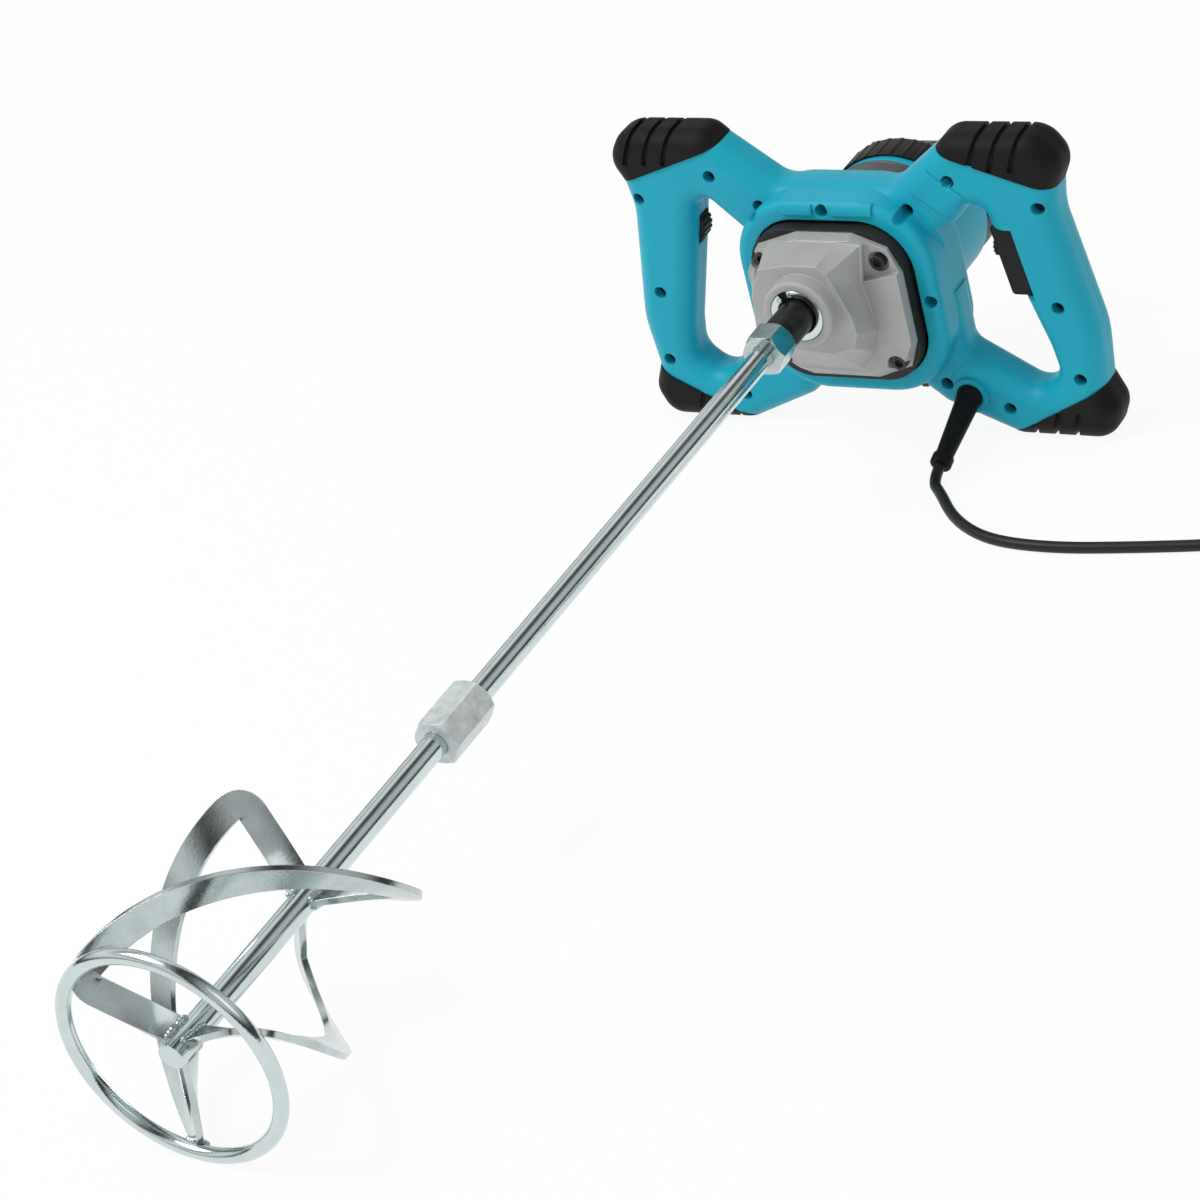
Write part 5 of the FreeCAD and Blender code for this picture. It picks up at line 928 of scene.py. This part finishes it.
class DRILL_OT_roof_grille(Operator):
    """Lays the black ribbed roof grille over the back of the motor housing"""

    bl_idname = "drill.roof_grille"
    bl_label = "Roof grille"

    def execute(self, context):
        sizes = context.scene.drill_sizes
        grille = bent_sheet(sizes.grille_start, sizes.grille_end, *GRILLE_SIDES)
        pick(lambda face: math.degrees(off_top(face)) % RIB_PITCH < RIB_WIDTH)
        bpy.ops.mesh.inset(thickness=RIB_BORDER, depth=0.0)
        bpy.ops.mesh.extrude_region_shrink_fatten(TRANSFORM_OT_shrink_fatten={"value": RIB_RISE})
        thickened(grille, GRILLE_WALL, GRILLE_EDGE)
        grille.name = grille.data.name = "roof_grille"
        set_down(grille, TOOL, "black_moulding")
        return {"FINISHED"}


# Raised panels: where they start in front of the frame, how deep they are sunk in its face, and their edges
PANEL_START = -0.06
PANEL_SUNK = 0.0006
PANEL_EDGE = 0.0005


def draped_panel(name, centre, half, proud, turn=0.0):
    """A raised panel on the front of the frame that follows the face under it."""
    nothing_selected()
    bpy.ops.mesh.primitive_grid_add(
        x_subdivisions=28, y_subdivisions=18, size=2, rotation=(math.pi / 2, 0, 0))
    panel = bpy.context.object
    bpy.ops.object.transform_apply(location=True, rotation=True, scale=True)
    bpy.ops.object.mode_set(mode="EDIT")
    bpy.ops.mesh.select_all(action="SELECT")
    bpy.ops.transform.resize(value=(half[0], 1, half[1]), center_override=(0, 0, 0))
    bpy.ops.transform.rotate(value=turn, orient_axis="Y", center_override=(0, 0, 0))
    bpy.ops.transform.translate(value=(centre[0], PANEL_START, centre[1]))
    bpy.ops.object.mode_set(mode="OBJECT")
    panel.matrix_world = TOOL
    drape = panel.modifiers.new("drape", "SHRINKWRAP")
    drape.wrap_method = "PROJECT"
    drape.target = NODES["switch_cover"]
    drape.auxiliary_target = NODES["front_shell"]
    drape.use_project_y = True
    drape.use_positive_direction = True
    drape.use_negative_direction = False
    thickness = proud + PANEL_SUNK
    add_wall(panel, thickness, 2 * proud / thickness - 1)
    add_edges(panel, PANEL_EDGE, sharp=SHEET_SHARP)
    apply_modifiers(panel)
    panel.name = panel.data.name = name
    set_down(panel, Matrix.Identity(4), "frame_moulding")


class DRILL_OT_cover_panel(Operator):
    """Raises the flat panel on the upper arm of the switch cover"""

    bl_idname = "drill.cover_panel"
    bl_label = "Cover panel"

    def execute(self, context):
        draped_panel("cover_panel", centre=(0.0645, 0.0590), half=(0.0125, 0.0085), proud=0.0010,
                     turn=math.radians(-38))
        return {"FINISHED"}


class DRILL_OT_ring_bars(Operator):
    """Raises the two bars beside the screw in the top of the ring"""

    bl_idname = "drill.ring_bars"
    bl_label = "Ring bars"

    def execute(self, context):
        draped_panel("ring_bar_left", centre=(-0.0145, 0.0545), half=(0.0090, 0.0028), proud=0.0014)
        draped_panel("ring_bar_right", centre=(0.0180, 0.0545), half=(0.0120, 0.0028), proud=0.0014)
        return {"FINISHED"}


# The floor's width and its gap under the tool, and the share of it that stays white to the camera
FLOOR_WIDTH = 60
FLOOR_GAP = 0.0002
FLOOR_GLOW = 0.92

# The soft light from all round, and the lamps: their size and target, and each one's place and power
SOFT_LIGHT = 0.58
LAMP_SIZE = 1.4
LIT_PLACE = (0, 0.1, 0.05)
LAMPS = {"key_light": ((-1.3, -1.1, 2.7), 50), "fill_light": ((2.2, -0.6, 1.9), 4)}

# What the metal mirrors, from the right horizon over the top to the left one: pale walls between dark gaps
MIRRORED_STOPS = (
    (0.0, 0.04), (0.08, 0.05), (0.13, 0.45), (0.20, 0.62), (0.30, 0.55), (0.40, 0.12),
    (0.46, 0.04), (0.51, 0.25), (0.57, 0.85), (0.64, 0.95), (0.71, 0.40), (0.76, 0.50),
    (0.84, 0.95), (0.92, 0.70), (0.96, 0.08), (1.0, 0.04))

# The camera's place and the ways it looks in the tool's own axes, and its lens and film in millimetres
CAMERA_PLACE = (0.905348, -1.512688, 0.903113)
CAMERA_RIGHT = Vector((0.85516, 0.46344, -0.23224))
CAMERA_DOWN = Vector((0.07855, -0.55869, -0.82565))
CAMERA_AHEAD = Vector((-0.51238, 0.68781, -0.51417))
CAMERA_LENS = 108.11
CAMERA_FILM = 36


class DRILL_OT_stage(Operator):
    """Makes the pale floor, the soft light and the camera"""

    bl_idname = "drill.stage"
    bl_label = "Stage"

    def execute(self, context):
        nothing_selected()
        bpy.ops.mesh.primitive_plane_add(size=FLOOR_WIDTH, location=(0, 0, -FLOOR_GAP))
        floor = context.object
        floor.name = "floor"
        floor.data.materials.append(self.floor_finish(tuple(context.scene.drill_colours.floor)))
        self.light_world(context)
        for name, (place, power) in LAMPS.items():
            self.add_lamp(context, name, place, power)
        self.add_camera(context)
        context.scene.view_settings.view_transform = "Standard"
        nothing_selected()
        return {"FINISHED"}

    def floor_finish(self, colour):
        """Pale paint, white to the camera and in reflections, that keeps the tool's shadow."""
        finish = Finish("floor_paint")
        rays = finish.add("ShaderNodeLightPath").outputs
        seen = Reading(finish, rays["Is Camera Ray"]) + Reading(finish, rays["Is Glossy Ray"])
        seen = (seen + Reading(finish, rays["Is Transmission Ray"])).held()
        paint = finish.add("ShaderNodeBsdfDiffuse", None, {"Color": (*colour, 1)})
        glow = finish.add("ShaderNodeEmission", None, {"Color": (1, 1, 1, 1), "Strength": 1.0})
        mixed = finish.add("ShaderNodeMixShader", None, {
            0: seen * FLOOR_GLOW, 1: paint.outputs[0], 2: glow.outputs[0]})
        finish.add("ShaderNodeOutputMaterial", None, {"Surface": mixed.outputs[0]})
        return finish.material

    def light_world(self, context):
        """White to the camera, and an even soft light with darker sides for the metal to mirror."""
        world = context.scene.world or bpy.data.worlds.new("studio")
        context.scene.world = world
        world.use_nodes = True
        work = NodeWork(world.node_tree)
        white = {"Color": (1, 1, 1, 1)}
        rays = work.add("ShaderNodeLightPath").outputs
        place = work.add("ShaderNodeTexCoord").outputs["Generated"]
        across = work.add("ShaderNodeSeparateXYZ", None, {0: place}).outputs
        over = work.math("ARCTAN2", across[2], across[0]) * (1 / math.pi)
        ramp = work.add("ShaderNodeValToRGB", {"stops": MIRRORED_STOPS}, {0: over})
        soft = work.add("ShaderNodeBackground", None, {**white, "Strength": SOFT_LIGHT})
        mirrored = work.add("ShaderNodeBackground", None, {"Color": ramp.outputs[0]})
        plain = work.add("ShaderNodeBackground", None, white)
        glossy = work.add("ShaderNodeMixShader", None, {
            0: rays["Is Glossy Ray"], 1: soft.outputs[0], 2: mirrored.outputs[0]})
        seen = (Reading(work, rays["Is Camera Ray"]) + Reading(work, rays["Is Transmission Ray"])).held()
        both = work.add("ShaderNodeMixShader", None, {0: seen, 1: glossy.outputs[0], 2: plain.outputs[0]})
        work.add("ShaderNodeOutputWorld", None, {0: both.outputs[0]})

    def add_lamp(self, context, name, place, power):
        """A square lamp that shines on the tool."""
        lamp = bpy.data.lights.new(name, "AREA")
        lamp.size = LAMP_SIZE
        lamp.energy = power
        holder = bpy.data.objects.new(name, lamp)
        holder.location = place
        holder.rotation_euler = (Vector(LIT_PLACE) - Vector(place)).to_track_quat("-Z", "Y").to_euler()
        context.scene.collection.objects.link(holder)

    def add_camera(self, context):
        """The camera that sees the tool as it was photographed."""
        lens = bpy.data.cameras.new("camera")
        lens.sensor_width = CAMERA_FILM
        lens.lens = CAMERA_LENS
        lens.clip_start = 0.05
        lens.clip_end = 200
        holder = bpy.data.objects.new("camera", lens)
        turn = Matrix((CAMERA_RIGHT, -CAMERA_DOWN, -CAMERA_AHEAD)).transposed().to_4x4()
        holder.matrix_world = TOOL @ Matrix.Translation(CAMERA_PLACE) @ turn
        context.scene.collection.objects.link(holder)
        context.scene.camera = holder


class DRILL_PT_panel(Panel):
    """Lists the drill's pieces in the sidebar"""

    bl_idname = "DRILL_PT_panel"
    bl_label = "Mixing drill"
    bl_space_type = "VIEW_3D"
    bl_region_type = "UI"
    bl_category = "Mixing drill"

    def draw(self, context):
        layout = self.layout
        for operator in PIECE_OPERATORS:
            layout.operator(operator.bl_idname)
        for group in (context.scene.drill_sizes, context.scene.drill_colours):
            box = layout.box()
            for name in group.__annotations__:
                box.prop(group, name)


PIECE_OPERATORS = (
    DRILL_OT_stage,
    DRILL_OT_finishes,
    DRILL_OT_coil_band,
    DRILL_OT_cord,
    DRILL_OT_weld_beads,
    DRILL_OT_retaining_ring,
    DRILL_OT_bare_plate,
    DRILL_OT_roof_grille,
    DRILL_OT_cover_panel,
    DRILL_OT_ring_bars,
)
CLASSES = (DrillSizes, DrillColours, *PIECE_OPERATORS, DRILL_PT_panel)


def register():
    for made in CLASSES:
        bpy.utils.register_class(made)
    bpy.types.Scene.drill_sizes = PointerProperty(type=DrillSizes)
    bpy.types.Scene.drill_colours = PointerProperty(type=DrillColours)


def unregister():
    del bpy.types.Scene.drill_colours
    del bpy.types.Scene.drill_sizes
    for made in reversed(CLASSES):
        bpy.utils.unregister_class(made)


def main():
    register()
    bpy.ops.drill.stage()
    bpy.ops.drill.finishes()
    bpy.ops.drill.coil_band()
    bpy.ops.drill.cord()
    bpy.ops.drill.weld_beads()
    bpy.ops.drill.retaining_ring()
    bpy.ops.drill.bare_plate()
    bpy.ops.drill.roof_grille()
    bpy.ops.drill.cover_panel()
    bpy.ops.drill.ring_bars()


if __name__ == "__main__":
    main()
